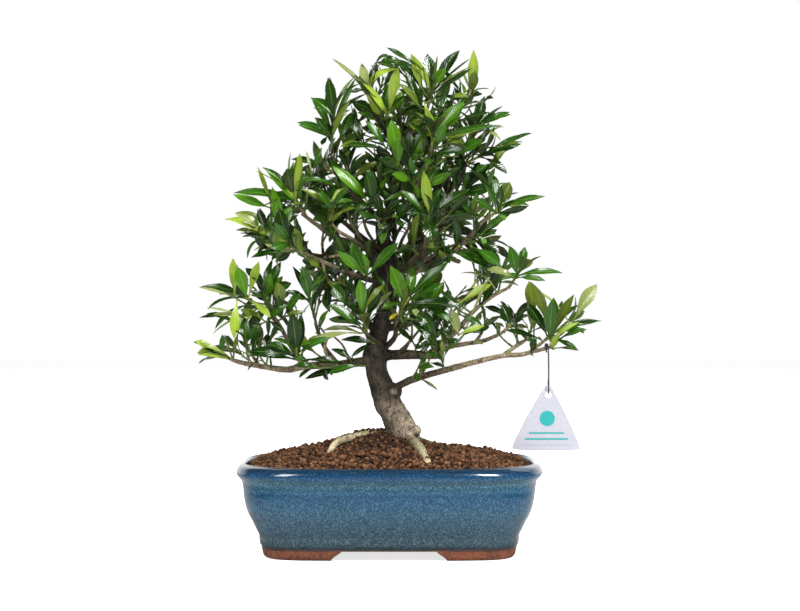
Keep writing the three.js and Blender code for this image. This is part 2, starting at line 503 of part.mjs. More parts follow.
// A shoot leaves its branch a little forward and bends up to its bud. Its green end starts at a share of
// the way, and its levels are equal steps down from the bud.
function shootCurve({ on, at, bud, pairs, chosen }) {
  const { point, way } = placeOn(BRANCHES[on].points, at);
  const end = vec(bud);
  const span = end.distanceTo(point);
  const middle = point.clone().lerp(end, 0.4)
    .addScaledVector(way, 0.12 * span).addScaledVector(UP, 0.04 * span);
  const curve = new THREE.QuadraticBezierCurve3(point, middle, end);
  const green = Math.max(0.38, 1 - GREEN_STEM / span);
  const start = green + GAP / span;
  const levels = 1 + Math.max(pairLevel(pairs - 1), chosenLevel(chosen.length - 1));
  const step = Math.min(LEVEL / span, (1 - start) / (levels + 1));
  return { curve, green, start, step };
}

const curvePoints = (curve, from, to, steps) =>
  Array.from({ length: steps + 1 }, (_, i) => curve.getPoint(from + (to - from) * i / steps));

// A leaf: its chord from foot to tip, the way its upper face looks, and the bend as a share of its length
function makeLeaf(foot, tip, face, width, bend) {
  const chord = tip.clone().sub(foot);
  const side = new THREE.Vector3().crossVectors(face, chord).normalize();
  const rise = new THREE.Vector3().crossVectors(chord, side).normalize();
  return { foot, chord, side, rise, width, bend: bend * chord.length() };
}

// Half width along the leaf: narrow foot, broadest past the middle, pointed tip
function halfWidth(leaf, u) {
  return Math.max(0.5 * leaf.width * Math.sin(Math.PI * u ** 1.15) ** 0.85, u < 0.5 ? PETIOLE : 0);
}

// A point of the leaf's middle surface: u runs from foot to tip, v from one margin to the other
function leafPoint(leaf, u, v, lift = 0) {
  const half = halfWidth(leaf, Math.min(u, 0.9999));
  const ahead = leaf.chord.clone().addScaledVector(leaf.rise, 4 * leaf.bend * (1 - 2 * u)).normalize();
  const normal = new THREE.Vector3().crossVectors(ahead, leaf.side);
  return leaf.foot.clone().addScaledVector(leaf.chord, u)
    .addScaledVector(leaf.rise, 4 * leaf.bend * u * (1 - u))
    .addScaledVector(leaf.side, v * half)
    .addScaledVector(normal, LEAF_FOLD * Math.abs(v) * half + lift);
}

// Sample points over a leaf, about 2.6 mm apart, for the test of clearance
function sampleLeaf(leaf) {
  const steps = Math.ceil(leaf.chord.length() / 2.6);
  const samples = [];
  for (let i = 1; i <= steps; i += 1) {
    for (let v = -1; v <= 1; v += 0.5) {
      samples.push({ u: i / steps, at: leafPoint(leaf, i / steps, v) });
    }
  }
  return samples;
}

const segmentDistance = (point, { from, to }) => {
  const along = to.clone().sub(from);
  const share = THREE.MathUtils.clamp(point.clone().sub(from).dot(along) / along.lengthSq(), 0, 1);
  return point.distanceTo(from.clone().addScaledVector(along, share));
};

const segmentsOf = (points, radiusAt, owner) => points.slice(1).map((to, i) => {
  const from = points[i];
  const middle = from.clone().lerp(to, 0.5);
  return { from, to, radius: radiusAt(i), owner, middle, half: from.distanceTo(to) / 2 };
});

// Whether a leaf stays clear of wood, stems, tag and every leaf placed before it
function isClear(leaf, owner, rods, placed) {
  const samples = sampleLeaf(leaf);
  const centre = leafPoint(leaf, 0.5, 0);
  const radius = leaf.chord.length() / 2 + 4;
  for (const { at } of samples) {
    if (at.z < LOWEST_LEAF) return false;
    if (at.z < 176 && Math.abs(at.y - TAG_Y) < 8 && at.x > 108 && at.x < 196) return false;
  }
  for (const rodPart of rods) {
    if (centre.distanceTo(rodPart.middle) > radius + rodPart.half + 8) continue;
    const start = rodPart.owner === owner ? 0.3 : 0.1;
    for (const { u, at } of samples) {
      if (u > start && segmentDistance(at, rodPart) < rodPart.radius + CLEAR_WOOD) return false;
    }
  }
  for (const other of placed) {
    if (centre.distanceTo(other.centre) > radius + other.radius + 3) continue;
    const own = other.owner === owner;
    const near = own ? CLEAR_OWN : CLEAR_BLADE;
    for (const a of samples) {
      if (own && a.u < 0.3) continue;
      for (const b of other.samples) {
        if (own && b.u < 0.3) continue;
        if (a.at.distanceTo(b.at) < near) return false;
      }
    }
  }
  placed.push({ owner, samples, centre, radius });
  return true;
}

// Turns that are tried one after another until a drawn leaf is clear: round the stem, away from it, and size
const TRIES = [
  [0, 0, 1], [0.4, 0, 1], [-0.4, 0, 1], [0, -0.2, 0.95], [0, 0.25, 0.95], [0.75, 0.1, 0.9],
  [-0.75, 0.1, 0.9],
  [0.4, -0.25, 0.85], [-0.4, 0.3, 0.85], [0, 0, 0.75], [1.1, 0.1, 0.75], [-1.1, 0.1, 0.75],
];

// Leaves stand in opposite pairs, each pair a quarter turn from the last, opening wider down the stem.
// Chosen leaves come first, those that stand closest to the stem highest.
function growLeaves(shoot, owner, rods, placed) {
  const { curve, step } = shootCurve(shoot);
  const footAt = (level) => 1 - (level + 0.5) * step;
  const leaves = [];
  const stemWay = curve.getTangent(1);
  const spread = ([x, y, z]) => new THREE.Vector3(x, y, z).sub(curve.getPoint(1)).angleTo(stemWay);
  [...shoot.chosen].sort((a, b) => spread(a) - spread(b)).forEach((row, order) => {
    const level = chosenLevel(order);
    const foot = curve.getPoint(footAt(level));
    const tip = vec(row);
    const [width, roll, bend] = row.slice(3);
    const chord = tip.clone().sub(foot);
    const face = FACE.clone().applyAxisAngle(chord.clone().normalize(), roll * Math.PI / 180);
    const leaf = { ...makeLeaf(foot, tip, face, width, bend), level };
    if (isClear(leaf, owner, rods, placed)) leaves.push(leaf);
  });
  const firstTurn = draw(0, Math.PI);
  for (let pair = 0; pair < shoot.pairs; pair += 1) {
    const t = footAt(pairLevel(pair));
    const foot = curve.getPoint(t);
    const axis = curve.getTangent(t);
    const across = new THREE.Vector3().crossVectors(REFERENCE, axis).normalize();
    for (const half of [0, Math.PI]) {
      const turn = firstTurn + half + pair * Math.PI / 2 + draw(-0.3, 0.3);
      const open = 0.5 + 0.28 * pair + draw(-0.12, 0.16);
      const length = shoot.leaf * (pair === 0 ? 0.85 : 1) * draw(0.8, 1.08);
      const width = length * LEAF_SLENDER * draw(0.85, 1.15);
      const bend = draw(0.05, 0.15);
      const tilt = draw(-0.4, 0.4);
      for (const [moreTurn, moreOpen, scale] of TRIES) {
        const out = across.clone().applyAxisAngle(axis, turn + moreTurn);
        const [c, s] = [Math.cos(open + moreOpen), Math.sin(open + moreOpen)];
        const way = axis.clone().multiplyScalar(c).addScaledVector(out, s);
        const face = axis.clone().multiplyScalar(s).addScaledVector(out, -c).applyAxisAngle(way, tilt);
        const tip = foot.clone().addScaledVector(way, length * scale)
          .addScaledVector(UP, LEAF_LIFT * length);
        const leaf = { ...makeLeaf(foot, tip, face, width * scale, bend), level: pairLevel(pair) };
        if (isClear(leaf, owner, rods, placed)) {
          leaves.push(leaf);
          break;
        }
      }
    }
  }
  return { leaves, firstTurn };
}

function stemPoints(shoot) {
  const { curve, start } = shootCurve(shoot);
  return curvePoints(curve, start, 1, 2);
}

function twigPoints(shoot) {
  const { curve, green } = shootCurve(shoot);
  return curvePoints(curve, 0, green, 2);
}

const crownsBranch = ({ on, at }) => at === BRANCHES[on].points.length - 1;
const makeTwig = (shoot) => rod(twigPoints(shoot), taper(TWIG_RADII, 3), TWIG_SIDES);

// A branch runs on into the twig of the shoot that crowns it
function makeBranch(name) {
  const { radii, points } = BRANCHES[name];
  const crown = SHOOTS.find((shoot) => shoot.on === name && crownsBranch(shoot));
  const onward = crown ? twigPoints(crown).slice(1) : [];
  const thinning = taper(radii, points.length);
  const radiusAt = (i) => (i < points.length ? thinning(i) : TWIG_RADII[1]);
  return rod([...points.map(vec), ...onward], radiusAt, BRANCH_SIDES);
}

const square = (value) => value * value;

// The turn of a four-cornered ring that follows another ring with the least twist
function leastTwist(ring, target) {
  const turns = [0, 1, 2, 3].map((turn) => ring.map((_, j) => (j + turn) % 4));
  const cost = (order) => order.reduce((sum, from, j) => sum + square(ring[from].distanceTo(target[j])), 0);
  return turns.reduce((best, order) => (cost(order) < cost(best) ? order : best));
}

// The sections of a leaf past its foot: margins and the two faces of the midrib
const leafSections = (leaf) => LEAF_STATIONS.map((u) => [
  leafPoint(leaf, u, 1), leafPoint(leaf, u, 0, LEAF_THICK / 2),
  leafPoint(leaf, u, -1), leafPoint(leaf, u, 0, -LEAF_THICK / 2),
]);

function growLeafSkin(skin, foot, leaf) {
  const sections = leafSections(leaf).map(skin.addRing);
  [foot, ...sections.slice(0, -1)].forEach((ring, i) => skin.bridge(ring, sections[i]));
  skin.runToTip(sections[sections.length - 1], leafPoint(leaf, 1, 0));
}

// Whether the edge between two points passes through a triangle that neither of them is a corner of
function pierces(from, to, triangle) {
  if (triangle.includes(from) || triangle.includes(to)) return false;
  const ray = new THREE.Ray(from, to.clone().sub(from).normalize());
  const hit = ray.intersectTriangle(...triangle, false, new THREE.Vector3());
  return hit !== null && hit.distanceTo(from) < to.distanceTo(from);
}

function cross(one, other) {
  const boxes = [one, other].map((triangle) => new THREE.Box3().setFromPoints(triangle));
  if (!boxes[0].intersectsBox(boxes[1])) return false;
  return [[one, other], [other, one]].some(([through, triangle]) => (
    through.some((from, j) => pierces(from, through[(j + 1) % 3], triangle))));
}

// The stem's rings: where it starts, and at both edges of every level that carries leaves
function makeStem(shoot, { leaves, firstTurn }) {
  const { curve, start, step } = shootCurve(shoot);
  const used = new Set([0]);
  leaves.forEach(({ level }) => used.add(level).add(level + 1));
  const edges = [...used].sort((a, b) => b - a);
  const points = [start, ...edges.map((edge) => 1 - edge * step)].map((t) => curve.getPoint(t));
  const rings = ringsAlong(points, taper(STEM_RADII, points.length), 4, firstTurn - Math.PI / 4);
  return { edges: [Infinity, ...edges], points, rings, open: points.map(() => []) };
}

// The stem's free side faces, best first: near the leaf's own level, and looking the way that it grows
function freePlaces({ edges, points, rings, open }, leaf) {
  const own = edges.indexOf(leaf.level + 1);
  const places = [];
  for (let lower = 1; lower < edges.length - 1; lower += 1) {
    for (const side of [0, 1, 2, 3].filter((one) => !open[lower].includes(one))) {
      const next = (side + 1) % 4;
      const out = rings[lower][side].clone().add(rings[lower][next]).addScaledVector(points[lower], -2);
      const cost = 0.6 * Math.abs(lower - own) - Math.cos(out.angleTo(leaf.chord));
      const foot = [[lower, next], [lower + 1, next], [lower + 1, side], [lower, side]];
      places.push({ lower, side, cost, foot });
    }
  }
  return places.sort((a, b) => a.cost - b.cost);
}

// A shoot is one skin: a square green stem, whose side faces open into leaves. A leaf grows from the best
// free face where it crosses nothing that is there already.
function makeShoot(shoot, grown) {
  const stem = makeStem(shoot, grown);
  const skin = makeSkin();
  const added = stem.rings.map(skin.addRing);
  const bare = makeSkin();
  stem.rings.map(bare.addRing).forEach((ring, i, all) => i && bare.bridge(all[i - 1], ring));
  const there = bare.triangles();
  for (const leaf of grown.leaves) {
    for (const { lower, side, foot } of freePlaces(stem, leaf)) {
      const corners = foot.map(([i, j]) => stem.rings[i][j]);
      const order = leastTwist(corners, leafSections(leaf)[0]);
      const probe = makeSkin();
      growLeafSkin(probe, probe.addRing(order.map((k) => corners[k])), leaf);
      const faces = probe.triangles();
      if (faces.some((face) => [...there, ...faces].some((other) => cross(face, other)))) continue;
      there.push(...faces);
      growLeafSkin(skin, order.map((k) => added[foot[k][0]][foot[k][1]]), leaf);
      stem.open[lower].push(side);
      break;
    }
  }
  skin.closeBehind(added[0]);
  added.slice(1).forEach((ring, i) => skin.bridge(added[i], ring, stem.open[i]));
  skin.closeAhead(added[added.length - 1]);
  return skin.solid();
}

// Tag and wire

function makeTag() {
  const plate = new THREE.Shape(TAG_OUTLINE.map(([x, z]) => new THREE.Vector2(x, z)));
  const hole = new THREE.Path();
  hole.absarc(TAG_HOLE[0], TAG_HOLE[1], TAG_HOLE_RADIUS, 0, 2 * Math.PI, true);
  plate.holes.push(hole);
  const geometry = new THREE.ExtrudeGeometry(plate,
    { depth: TAG_THICK, bevelEnabled: false, curveSegments: 7 });
  geometry.rotateX(Math.PI / 2);
  geometry.translate(0, TAG_Y + TAG_THICK / 2, 0);
  return solidOf(geometry);
}

function makeWire() {
  return rod(WIRE_POINTS.map(vec), () => WIRE_RADIUS, 6);
}

// Assembly

const plant = new THREE.Group();
function addPiece(name, solid, material) {
  const mesh = new THREE.Mesh(geometryOf(solid), material);
  mesh.name = name;
  plant.add(mesh);
}

const wood = unionOf([
  makeTrunk(), ...KNOBS.map(makeKnob), ...ROOTS.map((root) => makeRoot(root)),
  ...Object.keys(BRANCHES).map(makeBranch),
  ...SHOOTS.filter((shoot) => !crownsBranch(shoot)).map(makeTwig),
]);
const buried = TRUNK.slice(0, 5).map(([x, y, z, radius], i) => [x, y, i ? z : z - GAP, radius]);
const holes = [makeTrunk(GAP, buried), ...ROOTS.map((root) => makeRoot(root, GAP))];

addPiece('pot', makePot(), GLAZE);
FEET.forEach(([place, sideX, sideY]) => addPiece(`clay_foot_${place}`, makeFoot(sideX, sideY), CLAY));
addPiece('drain_screen_left', makeScreen(-1), SCREEN);
addPiece('drain_screen_right', makeScreen(1), SCREEN);
addPiece('soil', makeSoil(holes), SOIL);
addPiece('trunk_and_branches', wood, BARK);
addPiece('tag', makeTag(), TAG);
addPiece('tag_wire', makeWire(), WIRE);

const rods = [
  ...segmentsOf(TRUNK.map(vec), (i) => TRUNK[i][3] * 1.07, 'wood'),
  ...Object.values(BRANCHES).flatMap(({ radii, points }) => (
    segmentsOf(points.map(vec), taper(radii, points.length), 'wood'))),
  ...SHOOTS.flatMap((shoot) => segmentsOf(twigPoints(shoot), taper(TWIG_RADII, 3), 'wood')),
  ...SHOOTS.flatMap((shoot, i) => segmentsOf(stemPoints(shoot), taper(STEM_RADII, 3), i)),
  ...segmentsOf(WIRE_POINTS.map(vec), () => WIRE_RADIUS, 'wire'),
];
const placed = [];
SHOOTS.forEach((shoot, i) => {
  const grown = growLeaves(shoot, i, rods, placed);
  const number = String(i + 1).padStart(2, '0');
  addPiece(`leafy_shoot_${number}`, makeShoot(shoot, grown), i % 3 ? LEAF : YOUNG_LEAF);
});

const box = new THREE.Box3().setFromObject(plant);
const centre = box.getCenter(new THREE.Vector3());
plant.position.set(-centre.x, -centre.y, -box.min.z);
plant.updateMatrixWorld(true);

export default plant;
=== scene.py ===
"""Gardenia bonsai in a blue glazed pot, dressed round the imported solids.

The lists are in millimetres from the centre of the pot's plan, as in the part's own source: +X to the
right in the front view, +Y to the back, +Z up. `placed` moves such points to the frame and to metres.
"""

import bpy
import numpy as np
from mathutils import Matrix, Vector
from mathutils.geometry import delaunay_2d_cdt


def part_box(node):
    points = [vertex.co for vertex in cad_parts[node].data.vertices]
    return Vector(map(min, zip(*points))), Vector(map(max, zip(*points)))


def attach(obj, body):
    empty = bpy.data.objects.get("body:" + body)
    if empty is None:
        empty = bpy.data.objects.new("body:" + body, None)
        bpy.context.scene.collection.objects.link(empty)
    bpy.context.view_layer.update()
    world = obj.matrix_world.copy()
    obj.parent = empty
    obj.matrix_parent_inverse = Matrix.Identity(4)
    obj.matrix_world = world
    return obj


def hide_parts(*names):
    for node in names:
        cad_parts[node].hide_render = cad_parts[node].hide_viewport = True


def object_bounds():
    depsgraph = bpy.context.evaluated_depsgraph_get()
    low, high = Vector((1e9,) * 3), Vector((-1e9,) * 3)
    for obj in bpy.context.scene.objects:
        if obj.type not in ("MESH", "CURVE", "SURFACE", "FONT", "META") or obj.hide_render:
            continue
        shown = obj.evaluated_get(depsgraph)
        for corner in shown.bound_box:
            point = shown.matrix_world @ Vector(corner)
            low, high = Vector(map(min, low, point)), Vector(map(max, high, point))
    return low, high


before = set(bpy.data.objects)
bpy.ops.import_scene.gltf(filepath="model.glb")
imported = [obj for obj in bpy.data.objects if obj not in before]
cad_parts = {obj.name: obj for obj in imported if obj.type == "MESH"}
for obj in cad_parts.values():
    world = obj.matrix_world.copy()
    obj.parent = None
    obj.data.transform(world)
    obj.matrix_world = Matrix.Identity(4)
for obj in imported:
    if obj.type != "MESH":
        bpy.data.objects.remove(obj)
CAD_BOX = [list(corner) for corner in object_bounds()]

# Trunk, from the buried foot to the top: x, y, z, radius
TRUNK = np.array([
    (16, 3, 58, 13), (16, 2, 92, 16), (14.5, 2, 112, 16.4), (7, 1, 130, 13.9), (-2.5, 0, 149, 13.2),
    (-8, 0, 163, 12.4), (-13, 0, 177, 11.3), (-14, 0, 193, 11.6), (-12, 0, 210, 10.6), (-7, 1, 229, 9.6),
    (-2, 2, 245, 9.2), (-4, 3, 262, 8.8), (-3, 4, 278, 9), (-3, 4, 294, 8.4), (-7, 4, 313, 7),
    (-6, 3, 328, 6.4), (3, 3, 345, 5.4), (8, 4, 370, 4.6), (11, 5, 399, 3.8), (13, 6, 418, 3)])
# Old cut scars and swellings on the trunk: x, y, z, radius
KNOBS = [(4, -6, 158, 9), (26, -7, 119, 6)]
# Roots that show on the soil: radius at both ends, and points
ROOTS = [
    ((5, 2.8), [(4, -2, 112), (-20, -10, 115), (-36, -20, 113), (-50, -32, 110), (-58, -46, 101),
        (-61, -54, 88)]),
    ((6.5, 3), [(14, -4, 110), (24, -26, 108), (30, -48, 104), (34, -66, 98), (38, -80, 91),
        (41, -90, 80)]),
    ((5.5, 3), [(20, 4, 110), (40, 12, 103), (58, 24, 95), (72, 32, 84)]),
]
# Branches: radius at both ends, and points
BRANCHES = {
    "leftLow": ((5, 2), [(-14, -2, 190), (-38, -14, 186.5), (-53, -20, 185), (-80, -28, 184.5),
        (-101, -33, 181), (-124, -36, 184), (-141, -38, 187), (-153, -40, 190)]),
    "leftLowRise": ((2.6, 1.7), [(-84, -29, 183), (-97, -31, 203), (-107, -33, 223), (-117, -35, 238)]),
    "leftLowInner": ((2.5, 1.6), [(-52, -20, 187), (-64, -15, 202), (-71, -9, 217), (-75, -5, 232)]),
    "leftWhorl": ((3.2, 2.2), [(-13, -4, 204), (-21, -15, 210)]),
    "frontWhorl": ((3.2, 2), [(-6, -4, 200), (5, -15, 212), (6, -24, 224)]),
    "rightLow": ((5.4, 3.4), [(-12, 0, 194), (20, -8, 195), (40, -12, 194), (54, -14, 195.5)]),
    "rightLowOuter": ((3, 1.8), [(42, -12, 195), (58, -12, 202), (72, -8, 205), (95, -4, 209),
        (114, 0, 217)]),
    "rightLowRise": ((3.2, 1.8), [(38, -12, 195), (54, -17, 208), (68, -20, 220), (84, -24, 239),
        (103, -28, 254), (117, -30, 261)]),
    "rightLowest": ((4.3, 1.8), [(-2, -3, 156), (14, -12, 166.5), (27, -18, 172), (54, -28, 180),
        (79, -36, 187), (109, -44, 194.5), (131, -47, 196.5), (157, -50, 203.5)]),
    "rightLowestTwig": ((2.2, 1.6), [(110, -44, 194), (124, -40, 204), (134, -37, 210)]),
    "leftMid": ((3.6, 1.7), [(-4, 4, 287), (-34, 16, 291), (-58, 24, 293), (-88, 31, 298),
        (-103, 33, 309)]),
    "leftMidFront": ((3.3, 1.7), [(-4, 2, 266), (-28, -10, 272), (-52, -20, 281), (-86, -28, 296),
        (-106, -31, 301)]),
    "leftHigh": ((4.4, 1.8), [(-4, 4, 299), (-28, -1, 305), (-52, -9, 311), (-69, -15, 322),
        (-87, -22, 335)]),
    "leftTop": ((3.4, 1.7), [(-5, 3, 326), (-29, 8, 349), (-47, 12, 365), (-54, 14, 383), (-58, 15, 400)]),
    "rightMid": ((5, 1.9), [(-3, 2, 262), (17, -4, 270), (27, -9, 280), (39, -13, 286), (58, -20, 295),
        (66, -23, 301), (81, -28, 314), (91, -32, 326), (100, -35, 332)]),
    "rightMidStub": ((2.8, 2.5), [(54, -18, 293), (70, -25, 287)]),
    "rightHigh": ((4.6, 1.9), [(-3, 4, 288), (20, 9, 290), (35, 14, 302), (46, 19, 322), (57, 22, 346),
        (66, 20, 372), (74, 14, 396)]),
    "frontHigh": ((3.6, 1.8), [(-6, 3, 314), (8, -12, 332), (22, -26, 352), (33, -34, 376),
        (40, -38, 394)]),
    "frontMid": ((3, 1.9), [(30, -10, 281), (33, -28, 297), (36, -42, 312)]),
    "topLeft": ((3, 1.7), [(10, 5, 396), (-4, 2, 418), (-16, 0, 438)]),
    "topRight": ((3, 1.7), [(11, 5, 402), (27, 2, 424), (38, -2, 442)]),
    "topFar": ((2.6, 1.6), [(20, 4, 414), (46, 10, 428), (68, 12, 440)]),
    "backLow": ((4.6, 1.9), [(-11, 2, 214), (-22, 34, 226), (-38, 66, 244), (-54, 86, 266)]),
    "backLowRight": ((4.4, 1.9), [(-9, 2, 220), (20, 34, 226), (50, 62, 238), (80, 80, 254)]),
    "backMid": ((4.2, 1.9), [(-3, 5, 272), (10, 38, 284), (26, 70, 304), (36, 88, 328)]),
    "backMidLeft": ((3.8, 1.8), [(-4, 5, 294), (-26, 36, 312), (-52, 60, 334), (-76, 70, 356)]),
    "backHigh": ((3.4, 1.8), [(2, 4, 342), (6, 30, 364), (12, 52, 390), (12, 60, 414)]),
}
# Middle of the crown across the front view
TRUNK_X = -5
TWIG_RADII = (1.7, 1.35)
STEM_RADII = (1.5, 1.1)

